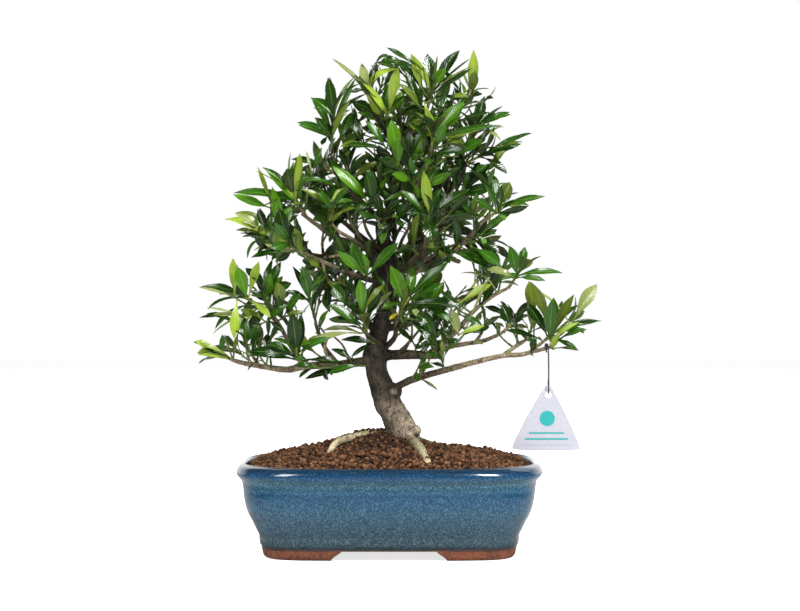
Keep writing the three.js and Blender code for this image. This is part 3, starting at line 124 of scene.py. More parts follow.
# Leafy shoots: the branch, how many of its points along, the bud, the leaf pairs that the rule adds and the
# length of a full leaf. Chosen leaves follow as tip x, y, z, width, roll, bend and tone: d dark, g green,
# b bright green, o olive, l lime, y yellow, p pale underside.
SHOOTS = [
    ("leftHigh", 3.7, (-96, -28, 356), 3, 42, [(-88, -34, 394, 9, 20, 0.05, "l"),
        (-95, -14, 386, 13, -10, 0.06, "d"), (-125, -36, 380, 10, 10, 0.08, "d"),
        (-154, -30, 355, 12, 0, 0.1, "g"), (-133, -18, 378, 6, 60, 0.05, "l")]),
    ("leftHigh", 2.4, (-56, -34, 336), 3, 34, [(-72, -44, 356, 8, 0, 0.1, "g")]),
    ("leftMid", 3.8, (-117, 30, 325), 3, 40, [(-167, 14, 331, 8, 10, 0.08, "l"),
        (-158, 46, 340, 10, 0, 0.08, "o"), (-121, 20, 356, 9, 30, 0.05, "l")]),
    ("leftMid", 2.3, (-66, 12, 322), 3, 36, [(-88, 4, 322, 9, 0, 0.1, "g")]),
    ("leftMidFront", 4, (-122, -34, 311), 3, 34, [(-151, -38, 318, 8, 20, 0.1, "o"),
        (-138, -54, 290, 8, 40, 0.2, "g")]),
    ("leftMidFront", 2.4, (-60, -36, 268), 3, 38, [(-44, -42, 246, 12, 10, 0.12, "g")]),
    ("leftLowRise", 3, (-122, -38, 256), 3, 36, [(-106, -42, 287, 10, 10, 0.08, "g"),
        (-115, -30, 290, 9, -30, 0.06, "g"), (-96, -36, 266, 11, 0, 0.08, "d")]),
    ("leftLowRise", 2, (-144, -22, 254), 2, 38, [(-153, -26, 291, 8, 20, 0.05, "g"),
        (-130, -30, 288, 9, 0, 0.05, "l"), (-154, -34, 213, 11, 10, 0.1, "l"),
        (-189, -20, 262, 9, 0, 0.12, "d"), (-180, -28, 240, 9, 30, 0.15, "g"),
        (-174, -14, 220, 8, 0, 0.15, "g")]),
    ("leftLow", 5.2, (-150, 8, 222), 3, 36, [(-184, 0, 236, 9, 10, 0.12, "g")]),
    ("leftLow", 7, (-169, -42, 199), 3, 32, [(-190, -48, 209, 9, 0, 0.1, "l"),
        (-189, -36, 197, 9, 10, 0.12, "l"), (-163, -46, 216, 6, 40, 0.05, "g")]),
    ("leftLow", 5.7, (-139, -50, 208), 3, 30, [(-128, -56, 224, 8, 10, 0.08, "g")]),
    ("leftLow", 3.2, (-90, -54, 201), 3, 38, [(-94, -62, 238, 15, 0, 0.06, "d"),
        (-137, -60, 199, 11, -20, 0.12, "d"), (-55, -70, 213, 9, 10, 0.1, "g"),
        (-112, -66, 212, 9, 20, 0.1, "g")]),
    ("leftLow", 1.8, (-58, -2, 176), 1, 32, [(-86, -6, 170, 8, -40, 0.12, "d")]),
    ("leftLowInner", 3, (-80, -4, 250), 3, 34, [(-86, -10, 281, 11, 0, 0.06, "g"),
        (-104, -16, 258, 9, 10, 0.1, "g"), (-98, 8, 284, 10, 20, 0.06, "d")]),
    ("leftWhorl", 1, (-26, -30, 234), 3, 38, [(-27, -36, 268, 10, 0, 0.05, "g"),
        (-59, -36, 242, 11, -10, 0.08, "g"), (-84, -40, 208, 9, 0, 0.24, "o"),
        (-8, -44, 256, 9, 30, 0.08, "d")]),
    ("frontWhorl", 2, (18, -42, 250), 2, 40, [(1, -50, 283, 16, 0, 0.06, "b"),
        (57, -50, 286, 10, 0, 0.08, "g"), (52, -46, 266, 10, 0, 0.06, "g"),
        (64, -50, 243, 10, 10, 0.14, "d"), (0, -38, 230, 5, 20, 0.06, "y"),
        (46, -42, 205, 11, 0, 0.35, "d")]),
    ("rightLow", 2.2, (44, -34, 222), 2, 30, [(60, -44, 212, 9, 0, 0.15, "d")]),
    ("rightLowRise", 1.4, (70, -28, 243), 2, 34, [(101, -32, 263, 10, 0, 0.06, "o"),
        (92, -34, 224, 7, 20, 0.1, "g"), (53, -36, 258, 9, 20, 0.08, "g")]),
    ("rightLowRise", 5, (127, -32, 276), 2, 36, [(118, -38, 303, 12, 0, 0.06, "g"),
        (134, -26, 302, 9, 20, 0.06, "g"), (172, -26, 276, 9, 0, 0.1, "g"),
        (152, -54, 268, 7, 10, 0.08, "g"), (95, -36, 279, 11, 0, 0.14, "p"),
        (110, -12, 258, 9, 10, 0.12, "d")]),
    ("rightLowOuter", 4, (128, 2, 234), 2, 34, [(116, -6, 258, 12, 0, 0.08, "g"),
        (95, 2, 243, 9, 0, 0.1, "d"), (146, -4, 206, 7, 30, 0.12, "g"), (152, 6, 250, 10, 0, 0.08, "g")]),
    ("rightLowOuter", 2.6, (98, 18, 228), 3, 30, []),
    ("rightLowest", 7, (158, -50, 219), 2, 40, [(137, -64, 267, 11, 0, 0.06, "o"),
        (133, -44, 243, 12, 0, 0.06, "d"), (160, -52, 252, 10, 10, 0.05, "g"),
        (184, -52, 200, 7, 0, 0.1, "g")]),
    ("rightLowest", 6.2, (172, -40, 226), 2, 38, [(178, -50, 258, 10, 0, 0.06, "o"),
        (202, -36, 264, 12, 0, 0.07, "l"), (208, -28, 229, 7, 20, 0.08, "g"),
        (191, -54, 219, 8, 0, 0.1, "g")]),
    ("rightLowestTwig", 2, (140, -34, 222), 2, 26, []),
    ("rightLowest", 2.2, (31, -24, 183), 0, 20, [(36, -30, 197, 6, 0, 0.06, "g"),
        (50, -34, 164, 5, 10, 0.2, "d")]),
    ("rightMid", 8, (110, -38, 343), 2, 34, [(118, -42, 365, 14, 0, 0.04, "o"),
        (153, -40, 351, 7, 20, 0.1, "g"), (136, -58, 341, 9, 0, 0.14, "g"),
        (104, -26, 370, 10, 10, 0.05, "g"), (92, -52, 362, 9, 10, 0.06, "g")]),
    ("rightMid", 5.4, (88, -8, 308), 3, 34, [(110, -20, 279, 13, 0, 0.12, "d"),
        (108, -4, 320, 7, 0, 0.08, "g")]),
    ("rightMid", 4.2, (68, -42, 302), 2, 36, [(97, -48, 282, 13, -10, 0.1, "d")]),
    ("rightHigh", 4, (72, -2, 356), 3, 42, [(102, -12, 386, 15, 0, 0.05, "d"),
        (57, -14, 389, 10, 10, 0.05, "d")]),
    ("rightHigh", 5.4, (98, 4, 396), 3, 36, [(142, -6, 416, 7, 10, 0.1, "g"),
        (133, 8, 407, 7, 30, 0.12, "g"), (118, 0, 376, 10, 0, 0.12, "d")]),
    ("rightHigh", 6, (84, 10, 424), 3, 36, [(96, 4, 455, 9, 10, 0.05, "g"), (121, -2, 438, 9, 0, 0.08, "g"),
        (101, 16, 440, 8, 20, 0.08, "d")]),
    ("rightHigh", 2.6, (62, 34, 326), 3, 38, []),
    ("frontMid", 2, (39, -52, 333), 3, 42, [(33, -58, 376, 11, 0, 0.04, "l"),
        (79, -56, 357, 12, 0, 0.08, "d"), (41, -66, 306, 15, 0, 0.2, "d"),
        (10, -56, 356, 10, 10, 0.08, "g")]),
    ("frontHigh", 4, (44, -42, 410), 3, 40, [(34, -46, 440, 7, 10, 0.05, "l"),
        (73, -46, 443, 13, 0, 0.06, "b"), (111, -44, 420, 7, 20, 0.1, "g")]),
    ("frontHigh", 2.3, (8, -42, 378), 3, 34, [(8, -48, 408, 11, 0, 0.05, "b")]),
    ("frontHigh", 0.9, (-22, -26, 346), 2, 40, [(-57, -30, 382, 13, 0, 0.06, "b"),
        (-62, -54, 309, 11, 10, 0.12, "g"), (-20, -40, 378, 9, 0, 0.06, "g")]),
    ("leftTop", 4, (-58, 14, 427), 3, 36, [(-60, 6, 474, 12, 0, 0.05, "d"), (-80, 10, 455, 9, 0, 0.06, "g"),
        (-94, 14, 429, 9, 10, 0.1, "g"), (-34, 8, 474, 6, 20, 0.12, "g"),
        (-22, -16, 455, 7, 0, 0.16, "d")]),
    ("leftTop", 2.4, (-66, 22, 384), 3, 38, [(-100, 16, 392, 10, 0, 0.1, "d")]),
    ("topLeft", 2, (-23, -2, 459), 2, 32, [(-57, -6, 491, 6, 20, 0.05, "g"),
        (-28, -8, 486, 9, 0, 0.05, "o"), (-13, 4, 490, 9, 10, 0.06, "d"),
        (10, -10, 480, 9, 0, 0.42, "l")]),
    ("topLeft", 1.2, (2, -14, 440), 2, 34, [(9, -34, 478, 11, 0, 0.04, "l"),
        (-26, -36, 462, 8, 10, 0.06, "l"), (4, -28, 404, 9, 0, 0.2, "d")]),
    ("topRight", 2, (43, -6, 464), 2, 34, [(21, -20, 494, 9, 0, 0.05, "l"), (38, 2, 497, 14, 0, 0.04, "d"),
        (68, -18, 497, 10, 0, 0.06, "d"), (82, -16, 480, 6, 30, 0.06, "g")]),
    ("topFar", 2, (81, 12, 462), 3, 30, [(86, 12, 500, 9, 0, 0.04, "l")]),
    ("topFar", 1.2, (48, 28, 446), 3, 34, []),
    ("backLow", 3, (-62, 96, 286), 4, 40, []),
    ("backLow", 2, (-62, 68, 268), 3, 38, []),
    ("backLowRight", 3, (92, 86, 272), 4, 40, []),
    ("backMid", 3, (40, 96, 350), 4, 40, []),
    ("backMidLeft", 3, (-84, 74, 378), 4, 40, []),
    ("backHigh", 3, (10, 62, 438), 4, 38, []),
]
# The tie wire's line, from the branch over and down through the tag's hole
WIRE_RADIUS = 0.7
WIRE_POINTS = [
    (152.2, -45.8, 202.6), (152.4, -47.7, 206), (152.6, -51.7, 206), (152.8, -53.6, 202.6),
    (153, -51.7, 199.2), (153.4, -47.7, 199.2), (153.8, -45.8, 202.6), (154, -47.7, 206),
    (154.2, -51.7, 206.1), (154.6, -54, 202.8), (154.9, -55.2, 194), (155, -55.6, 180),
    (155, -55.4, 166.5), (155, -54.6, 161), (155.1, -52, 159.1), (155.2, -49.6, 161),
    (155.1, -49.4, 166), (154.9, -51.4, 171)]

# The foliage, as in the part's source.
# The green end of a shoot: its length, the gap after the twig, and the step between levels of leaves
GREEN_STEM = 26
GAP = 0.35
LEVEL = 2.5
# A leaf: lift of its tip and width as shares of its length, fold at the midrib, and half width of its stalk
LEAF_LIFT = 0.12
LEAF_SLENDER = 0.29
LEAF_FOLD = 0.2
PETIOLE = 0.85
# Room that a leaf needs to other shoots' leaves, to its own shoot's leaves and to wood
CLEAR_BLADE = 4.4
CLEAR_OWN = 2.6
CLEAR_WOOD = 1.7
LOWEST_LEAF = 140
# The tag's depth, and the room round it that leaves keep out of: left, right, each way in depth, and top
TAG_Y = -52
TAG_ROOM = (108, 196, 8, 176)
UP = np.array((0.0, 0.0, 1.0))
REFERENCE = np.array((0.3, 1, 0)) / np.hypot(0.3, 1)
# The way that the upper side of a chosen leaf faces
FACE = np.array((0, -0.75, 0.65))
# What a grown leaf tries until it is clear: more turn, more opening, share of its size
TRIES = [
    (0, 0, 1), (0.4, 0, 1), (-0.4, 0, 1), (0, -0.2, 0.95), (0, 0.25, 0.95), (0.75, 0.1, 0.9),
    (-0.75, 0.1, 0.9), (0.4, -0.25, 0.85), (-0.4, 0.3, 0.85), (0, 0, 0.75), (1.1, 0.1, 0.75),
    (-1.1, 0.1, 0.75)]

# Height of the pot's rim, and where the glaze stops above the feet
RIM_HEIGHT = 88.6
GLAZE_EDGE = 9.6

low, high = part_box("pot")
SHIFT = np.array(((low.x + high.x) / 2, (low.y + high.y) / 2, 0))
BOX_LIMITS = np.array(CAD_BOX[0]) + 0.0005, np.array(CAD_BOX[1]) - 0.0005


def placed(points):
    """Points in the frame: millimetres from the pot's centre divided by 1000, moved with the pot."""
    return np.asarray(points) / 1000 + SHIFT


# Small vector arithmetic

def unit(vectors):
    """Vectors divided by their own length."""
    return vectors / np.linalg.norm(vectors, axis=-1, keepdims=True)


def turned(vector, axis, angle):
    """The vector turned about a unit axis: v cos + (axis x v) sin + axis (axis . v)(1 - cos)."""
    c, s = np.cos(angle), np.sin(angle)
    return vector * c + np.cross(axis, vector) * s + axis * np.dot(axis, vector) * (1 - c)


def taper(ends, count):
    """Values that run evenly from the first end's to the last one's."""
    return np.linspace(ends[0], ends[1], count)


def eased(share):
    """3 t^2 - 2 t^3, which leaves 0 and reaches 1 gently."""
    return share * share * (3 - 2 * share)


def run_along(points):
    """Distance along a line of points from the first one to each of them."""
    return np.concatenate([[0], np.cumsum(np.linalg.norm(np.diff(points, axis=0), axis=1))])


def circle(count):
    """Points of the circle of radius 1, in the plane."""
    turn = np.arange(count) / count * 2 * np.pi
    return np.stack([np.cos(turn), np.sin(turn)], -1)


class Draws:
    """Evenly spread draws from a seed: next = (1664525 seed + 1013904223) modulo 2^32."""

    def __init__(self, seed):
        self.seed = seed

    def between(self, low, high):
        """The next draw, from low to high."""
        self.seed = (self.seed * 1664525 + 1013904223) % 4294967296
        return low + (high - low) * self.seed / 4294967296


# Where shoots run

def shoot_curve(shoot):
    """A quadratic Bezier from the branch to the bud: a forward start, then up. The green end begins at a
    share of the way, and the levels that carry leaves are equal steps down from the bud."""
    on, at, bud, pairs, _, chosen = shoot
    points = np.array(BRANCHES[on][1], float)
    first = min(int(at), len(points) - 2)
    start = points[first] + (points[first + 1] - points[first]) * (at - first)
    way = unit(points[first + 1] - points[first])
    end = np.array(bud, float)
    span = np.linalg.norm(end - start)
    middle = start + (end - start) * 0.4 + way * 0.12 * span + UP * 0.04 * span
    green = max(0.38, 1 - GREEN_STEM / span)
    begin = green + GAP / span
    last = len(chosen) - 1
    levels = 1 + max(3 * (pairs - 1) + 1, last + (last + 1) // 2)
    step = min(LEVEL / span, (1 - begin) / (levels + 1))
    return (start, middle, end), green, begin, step


def on_curve(curve, t):
    """(1-t)^2 start + 2t(1-t) middle + t^2 end, for one t or an array of them."""
    t = np.asarray(t, float)[..., None]
    start, middle, end = curve
    return (1 - t) ** 2 * start + 2 * (1 - t) * t * middle + t * t * end


def tangent(curve, t):
    """The curve's way at t, from two points close to it."""
    before, after = on_curve(curve, [max(t - 1e-4, 0), min(t + 1e-4, 1)])
    return unit(after - before)


def foot_at(step, level):
    """Where a level's leaves stand on a shoot's curve."""
    return 1 - (level + 0.5) * step


# Leaves

def make_leaf(foot, tip, face, width, bend, tone=None):
    """A leaf as its foot, chord, sideways and upward unit vectors, width, bend and tone."""
    chord = tip - foot
    side = unit(np.cross(face, chord))
    rise = unit(np.cross(chord, side))
    length = np.linalg.norm(chord)
    return dict(foot=foot, chord=chord, side=side, rise=rise, width=width, bend=bend * length,
                length=length, tone=tone)


def leaf_points(leaf, u, v, peak=1.15, point=0.85):
    """Middle surface: foot + chord u + rise 4 bend u(1-u) + side v h + normal 0.2 |v| h, where the half width
    h is half the width times sin(pi u^peak)^point and no less than the stalk's in the lower half."""
    u, v = np.broadcast_arrays(np.asarray(u, float), np.asarray(v, float))
    inner = np.minimum(u, 0.9999)
    half = 0.5 * leaf["width"] * np.sin(np.pi * inner ** peak) ** point
    half = np.maximum(half, np.where(inner < 0.5, PETIOLE, 0))[..., None]
    u, v = u[..., None], v[..., None]
    ahead = unit(leaf["chord"] + leaf["rise"] * 4 * leaf["bend"] * (1 - 2 * u))
    normal = np.cross(ahead, leaf["side"])
    return (leaf["foot"] + leaf["chord"] * u + leaf["rise"] * 4 * leaf["bend"] * u * (1 - u)
            + leaf["side"] * v * half + normal * LEAF_FOLD * np.abs(v) * half)


class Room:
    """What is there already: rods of wood and stem, and the sample points of every leaf placed so far."""

    def __init__(self):
        self.rods = []
        self.leaves = []

    def add_rod(self, points, radii, owner):
        """Adds a line of points as rods, each with the radius of its first point."""
        points = np.asarray(points, float)
        for start, end, radius in zip(points[:-1], points[1:], radii):
            self.rods.append((start, end, radius, owner))

    def freeze(self):
        """Gathers the rods into arrays, with their middles and half lengths."""
        self.start, self.end = (np.array([rod[k] for rod in self.rods]) for k in (0, 1))
        self.radius = np.array([rod[2] for rod in self.rods])
        self.owner = [rod[3] for rod in self.rods]
        self.middle = (self.start + self.end) / 2
        self.half = np.linalg.norm(self.end - self.start, axis=1) / 2

    def rod_distance(self, at, k):
        """Distance of points from the segment number k."""
        along = self.end[k] - self.start[k]
        share = np.clip((at - self.start[k]) @ along / (along @ along), 0, 1)
        return np.linalg.norm(at - self.start[k] - share[:, None] * along, axis=1)

    def admits(self, leaf, owner):
        """Whether a leaf stays clear of wood, tag and every leaf before it. If so, it joins them."""
        steps = int(np.ceil(leaf["length"] / 2.6))
        u = np.repeat(np.arange(1, steps + 1) / steps, 5)
        v = np.tile(np.linspace(-1, 1, 5), steps)
        at = leaf_points(leaf, u, v)
        centre = leaf_points(leaf, 0.5, 0)
        radius = leaf["length"] / 2 + 4
        x, y, z = at.T
        left, right, deep, top = TAG_ROOM
        near_tag = (z < top) & (np.abs(y - TAG_Y) < deep) & (x > left) & (x < right)
        if (z < LOWEST_LEAF).any() or near_tag.any():
            return False
        reach = np.linalg.norm(self.middle - centre, axis=1) <= radius + self.half + 8
        for k in np.nonzero(reach)[0]:
            tested = at[u > (0.3 if self.owner[k] == owner else 0.1)]
            if (self.rod_distance(tested, k) < self.radius[k] + CLEAR_WOOD).any():
                return False
        outer = u >= 0.3
        for other in self.leaves:
            if np.linalg.norm(centre - other["centre"]) > radius + other["radius"] + 3:
                continue
            own = other["owner"] == owner
            mine, theirs = (at[outer], other["at"][other["outer"]]) if own else (at, other["at"])
            apart = np.linalg.norm(mine[:, None] - theirs[None], axis=2)
            if (apart < (CLEAR_OWN if own else CLEAR_BLADE)).any():
                return False
        self.leaves.append(dict(owner=owner, at=at, outer=outer, centre=centre, radius=radius))
        return True


def drawn_leaf(curve, t, across, numbers, trial):
    """A leaf of an opposite pair: its way is the stem's, opened by an angle and turned round the stem."""
    turn, opening, length, width, bend, tilt = numbers
    more_turn, more_open, scale = trial
    foot = on_curve(curve, t)
    axis = tangent(curve, t)
    out = turned(across, axis, turn + more_turn)
    c, s = np.cos(opening + more_open), np.sin(opening + more_open)
    way = axis * c + out * s
    face = turned(axis * s - out * c, way, tilt)
    tip = foot + way * length * scale + UP * LEAF_LIFT * length
    return make_leaf(foot, tip, face, width * scale, bend)


def chosen_leaves(shoot, owner, room):
    """The chosen leaves of a shoot that have room, those closest to the stem's own way highest."""
    curve, _, _, step = shoot_curve(shoot)
    end = on_curve(curve, 1)
    end_way = tangent(curve, 1)

    def spread(row):
        """The angle between the stem's way and the way to the leaf's tip."""
        way = np.array(row[:3], float) - end
        return np.arccos(np.clip(unit(way) @ end_way, -1, 1))

    leaves = []
    for order, row in enumerate(sorted(shoot[5], key=spread)):
        foot = on_curve(curve, foot_at(step, order + (order + 1) // 2))
        tip = np.array(row[:3], float)
        width, roll, bend, tone = row[3:]
        face = turned(FACE, unit(tip - foot), np.radians(roll))
        leaf = make_leaf(foot, tip, face, width, bend, tone)
        if room.admits(leaf, owner):
            leaves.append(leaf)
    return leaves


def grow_leaves(shoot, owner, room, draws):
    """Chosen leaves, then opposite pairs a quarter turn apart that open wider down the stem, if they fit."""
    _, _, _, pairs, full, _ = shoot
    curve, _, _, step = shoot_curve(shoot)
    leaves = chosen_leaves(shoot, owner, room)
    first_turn = draws.between(0, np.pi)
    for pair in range(pairs):
        t = foot_at(step, 3 * pair + 1)
        across = unit(np.cross(REFERENCE, tangent(curve, t)))
        for half in (0, np.pi):
            turn = first_turn + half + pair * np.pi / 2 + draws.between(-0.3, 0.3)
            opening = 0.5 + 0.28 * pair + draws.between(-0.12, 0.16)
            length = full * (0.85 if pair == 0 else 1) * draws.between(0.8, 1.08)
            width = length * LEAF_SLENDER * draws.between(0.85, 1.15)
            bend = draws.between(0.05, 0.15)
            tilt = draws.between(-0.4, 0.4)
            for trial in TRIES:
                leaf = drawn_leaf(curve, t, across, (turn, opening, length, width, bend, tilt), trial)
                if room.admits(leaf, owner):
                    leaves.append(leaf)
                    break
    return leaves


# Meshes from numpy arrays

def quads_of(rows, columns):
    """Quads between neighbouring rings of points, ring by ring, with the last column meeting the first."""
    r = np.arange(rows - 1)[:, None] * columns
    c = np.arange(columns)[None]
    after = (c + 1) % columns
    return np.stack([r + c, r + after, r + columns + after, r + columns + c], -1).reshape(-1, 4)


def tube_faces(rows, sides):
    """Quads between a closed tube's rings, and triangles from its ends to two points that come after them."""
    k = np.arange(sides)
    after = (k + 1) % sides
    last = (rows - 1) * sides
    foot = np.stack([after, k, np.full(sides, rows * sides)], -1)
    end = np.stack([last + k, last + after, np.full(sides, rows * sides + 1)], -1)
    return [quads_of(rows, sides), foot, end]


class Skin:
    """The points, map coordinates, faces and corner tints of one piece, gathered part by part. A tint is red,
    green, blue and how matte the surface is."""

    def __init__(self):
        self.points, self.maps, self.rims = [], [], []
        self.corners, self.sizes, self.slots, self.tints = [], [], [], []
        self.count = 0

    def add(self, points, faces, tints, maps=None, rims=None, slot=0):
        """Faces are arrays of quads or triangles. Tints are one colour, one for each point, or for each face
        set a list of colours for its faces."""
        points = points.reshape(-1, 3)
        for k, face_set in enumerate(faces):
            corners = face_set.ravel()
            if isinstance(tints, list):
                colours = np.repeat(tints[k], face_set.shape[1], axis=0)
            else:
                colours = np.broadcast_to(tints, (len(points), 4))[corners]
            self.corners.append(corners + self.count)
            self.sizes.append(np.full(len(face_set), face_set.shape[1]))
            self.slots.append(np.full(len(face_set), slot))
            self.tints.append(colours)
        self.points.append(points)
        self.maps.append(np.zeros((len(points), 2)) if maps is None else maps.reshape(-1, 2))
        self.rims.append(np.zeros(len(points), int) if rims is None else rims.ravel())
        self.count += len(points)

    def add_tube(self, grid, tints, slot=0):
        """A closed tube through rings of points, each end shut by a fan round the ring's middle."""
        rows, sides = grid.shape[:2]
        points = np.concatenate([grid.reshape(-1, 3), grid[[0, -1]].mean(axis=1)])
        if np.ndim(tints) == 2:
            tints = np.concatenate([np.repeat(tints, sides, axis=0), tints[[0, -1]]])
        self.add(points, tube_faces(rows, sides), np.asarray(tints, float), slot=slot)

    def piece(self, name, materials):
        """The finished object, with its place in its mesh, riding on the one body."""
        mesh = bpy.data.meshes.new(name)
        points = placed(np.concatenate(self.points))
        corners = np.concatenate(self.corners)
        sizes = np.concatenate(self.sizes)
        mesh.vertices.add(len(points))
        mesh.vertices.foreach_set("co", points.ravel())
        mesh.loops.add(len(corners))
        mesh.loops.foreach_set("vertex_index", corners)
        mesh.polygons.add(len(sizes))
        mesh.polygons.foreach_set("loop_start", np.cumsum(sizes) - sizes)
        mesh.update(calc_edges=True)
        mesh.polygons.foreach_set("material_index", np.concatenate(self.slots))
        mesh.polygons.foreach_set("use_smooth", np.full(len(sizes), True))
        mesh.uv_layers.new(name="map").data.foreach_set("uv", np.concatenate(self.maps)[corners].ravel())
        tints = np.concatenate(self.tints)
        mesh.attributes.new("matte", "FLOAT", "CORNER").data.foreach_set("value", tints[:, 3].copy())
        tints[:, 3] = 1
        tint = mesh.color_attributes.new("tint", "FLOAT_COLOR", "CORNER")
        tint.data.foreach_set("color", tints.ravel())
        self.crease(mesh)
        for material in materials:
            mesh.materials.append(material)
        return stood(name, mesh)

    def crease(self, mesh):
        """Edges whose two ends carry the same rim number are sharp."""
        rims = np.concatenate(self.rims)
        ends = np.empty(2 * len(mesh.edges), int)
        mesh.edges.foreach_get("vertices", ends)
        ends = rims[ends.reshape(-1, 2)]
        sharp = (ends[:, 0] == ends[:, 1]) & (ends[:, 0] > 0)
        if sharp.any():
            mesh.attributes.new("sharp_edge", "BOOLEAN", "EDGE").data.foreach_set("value", sharp)


def linked(name, data):
    """An object of a mesh, lamp or camera, in the scene."""
    made = bpy.data.objects.new(name, data)
    bpy.context.scene.collection.objects.link(made)
    return made


def stood(name, mesh):
    """An object of a mesh, at the origin, riding on the one body."""
    made = linked(name, mesh)
    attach(made, "root")
    return made


def smooth_path(points, steps):
    """Catmull-Rom curve through points: each span is the cubic with its neighbours' slopes at both ends."""
    points = np.asarray(points, float)
    ends = np.concatenate([[2 * points[0] - points[1]], points, [2 * points[-1] - points[-2]]])
    t = np.arange(steps)[:, None] / steps
    spans = [
        0.5 * (2 * b + (c - a) * t + (2 * a - 5 * b + 4 * c - d) * t ** 2
               + (3 * b - a - 3 * c + d) * t ** 3)
        for a, b, c, d in zip(ends[:-3], ends[1:-2], ends[2:-1], ends[3:])]
    return np.concatenate([*spans, points[-1:]])


def rings_along(path, radii, sides):
    """Rings of radius r round a path: path + r (across cos a + up sin a), with a frame that never spins."""
    ways = unit(np.gradient(path, axis=0))
    across = np.cross(REFERENCE, ways[0])
    sideways = []
    for way in ways:
        across = unit(across - way * (across @ way))
        sideways.append(across)
    sideways = np.array(sideways)[:, None]
    upwards = np.cross(ways, sideways[:, 0])[:, None]
    angle = np.arange(sides)[None, :, None] * 2 * np.pi / sides
    radii = np.broadcast_to(np.asarray(radii, float), len(path))[:, None, None]
    return path[:, None] + radii * (sideways * np.cos(angle) + upwards * np.sin(angle))


def soft_noise(points, cell, seed):
    """Noise from -1 to 1: hashed values at the corners of cells of a given size, blended by 3t^2 - 2t^3."""
    at = np.asarray(points) / cell
    corner = np.floor(at).astype(np.int64)
    share = eased(at - corner)
    total = np.zeros(len(at))
    for step in np.ndindex(2, 2, 2):
        x, y, z = (corner + step).T
        hashed = (x * 374761393 + y * 668265263 + z * 1274126177 + seed * 144665) & 0xffffffff
        hashed = ((hashed ^ (hashed >> 13)) * 1103515245) & 0xffffffff
        value = (hashed ^ (hashed >> 16)) / 2 ** 31 - 1
        total += value * np.where(step, share, 1 - share).prod(axis=1)
    return total


# Materials

def shader(name, roughness=0.5, **settings):
    """A material with one Principled shader. Settings are plain values for its sockets, by name."""
    material = bpy.data.materials.new(name)
    material.use_nodes = True
    tree = material.node_tree
    principled = tree.nodes["Principled BSDF"]
    principled.inputs["Roughness"].default_value = roughness
    for socket, value in settings.items():
        principled.inputs[socket.replace("_", " ")].default_value = value
    return material, tree, principled


def feed(principled, socket, value):
    """Links a value to a socket of the Principled shader."""
    principled.id_data.links.new(value, principled.inputs[socket])


def node(tree, kind, inputs=(), **settings):
    """A node of a kind, with its settings, and its inputs linked or given as plain values."""
    made = tree.nodes.new(kind)
    for key, value in settings.items():
        setattr(made, key, value)
    for key, value in dict(inputs).items():
        if isinstance(value, bpy.types.NodeSocket):
            tree.links.new(value, made.inputs[key])
        else:
            made.inputs[key].default_value = value
    return made


def maths(tree, operation, a, b=0.0, c=0.0, clamp=False):
    """The value of one Math node."""
    return node(tree, "ShaderNodeMath", {0: a, 1: b, 2: c}, operation=operation, use_clamp=clamp).outputs[0]


def mixed(tree, share, a, b, blend="MIX"):
    """The colour that mixes a and b by a share."""
    made = node(tree, "ShaderNodeMix", {0: share, 6: a, 7: b}, data_type="RGBA", blend_type=blend)
    return made.outputs[2]


def times(tree, a, b):
    """Two colours multiplied."""
    return mixed(tree, 1.0, a, b, "MULTIPLY")


def scaled(tree, value, factor, offset=0.0, clamp=False):
    """value x factor + offset, held between 0 and 1 if clamped."""
    return maths(tree, "MULTIPLY_ADD", value, factor, offset, clamp)


def grey(tree, value):
    """The colour whose red, green and blue are all one value."""
    return node(tree, "ShaderNodeCombineColor", {0: value, 1: value, 2: value}).outputs[0]


def ramp(tree, value, stops):
    """A colour ramp with stops of place and colour."""
    made = node(tree, "ShaderNodeValToRGB", {0: value})
    elements = made.color_ramp.elements
    while len(elements) < len(stops):
        elements.new(0.5)
    for element, (place, colour) in zip(elements, stops):
        element.position = place
        element.color = (*colour, 1)
    return made.outputs[0]


def noise(tree, where, scale, detail=3.0, roughness=0.55):
    """A cloud of noise from 0 to 1."""
    made = node(tree, "ShaderNodeTexNoise", {
        "Vector": where, "Scale": scale, "Detail": detail, "Roughness": roughness})
    return made.outputs["Fac"]


def bump(tree, height, distance):
    """A normal tilted by a height, in metres at full height."""
    return node(tree, "ShaderNodeBump", {"Height": height, "Distance": distance, "Strength": 1.0}).outputs[0]


def group(name, inputs, outputs):
    """An empty node group with named inputs (kind and default) and outputs, and its two end nodes."""
    made = bpy.data.node_groups.new(name, "ShaderNodeTree")
    for label, kind, default in inputs:
        socket = made.interface.new_socket(name=label, in_out="INPUT", socket_type=kind)
        if default is not None:
            socket.default_value = default
    for label, kind in outputs:
        made.interface.new_socket(name=label, in_out="OUTPUT", socket_type=kind)
    return made, made.nodes.new("NodeGroupInput").outputs, made.nodes.new("NodeGroupOutput").inputs


def place_group(tree, shared, **inputs):
    """The outputs of a node group placed in a material, with its inputs by name."""
    named = {name.replace("_", " "): value for name, value in inputs.items()}
    return node(tree, "ShaderNodeGroup", named, node_tree=shared).outputs


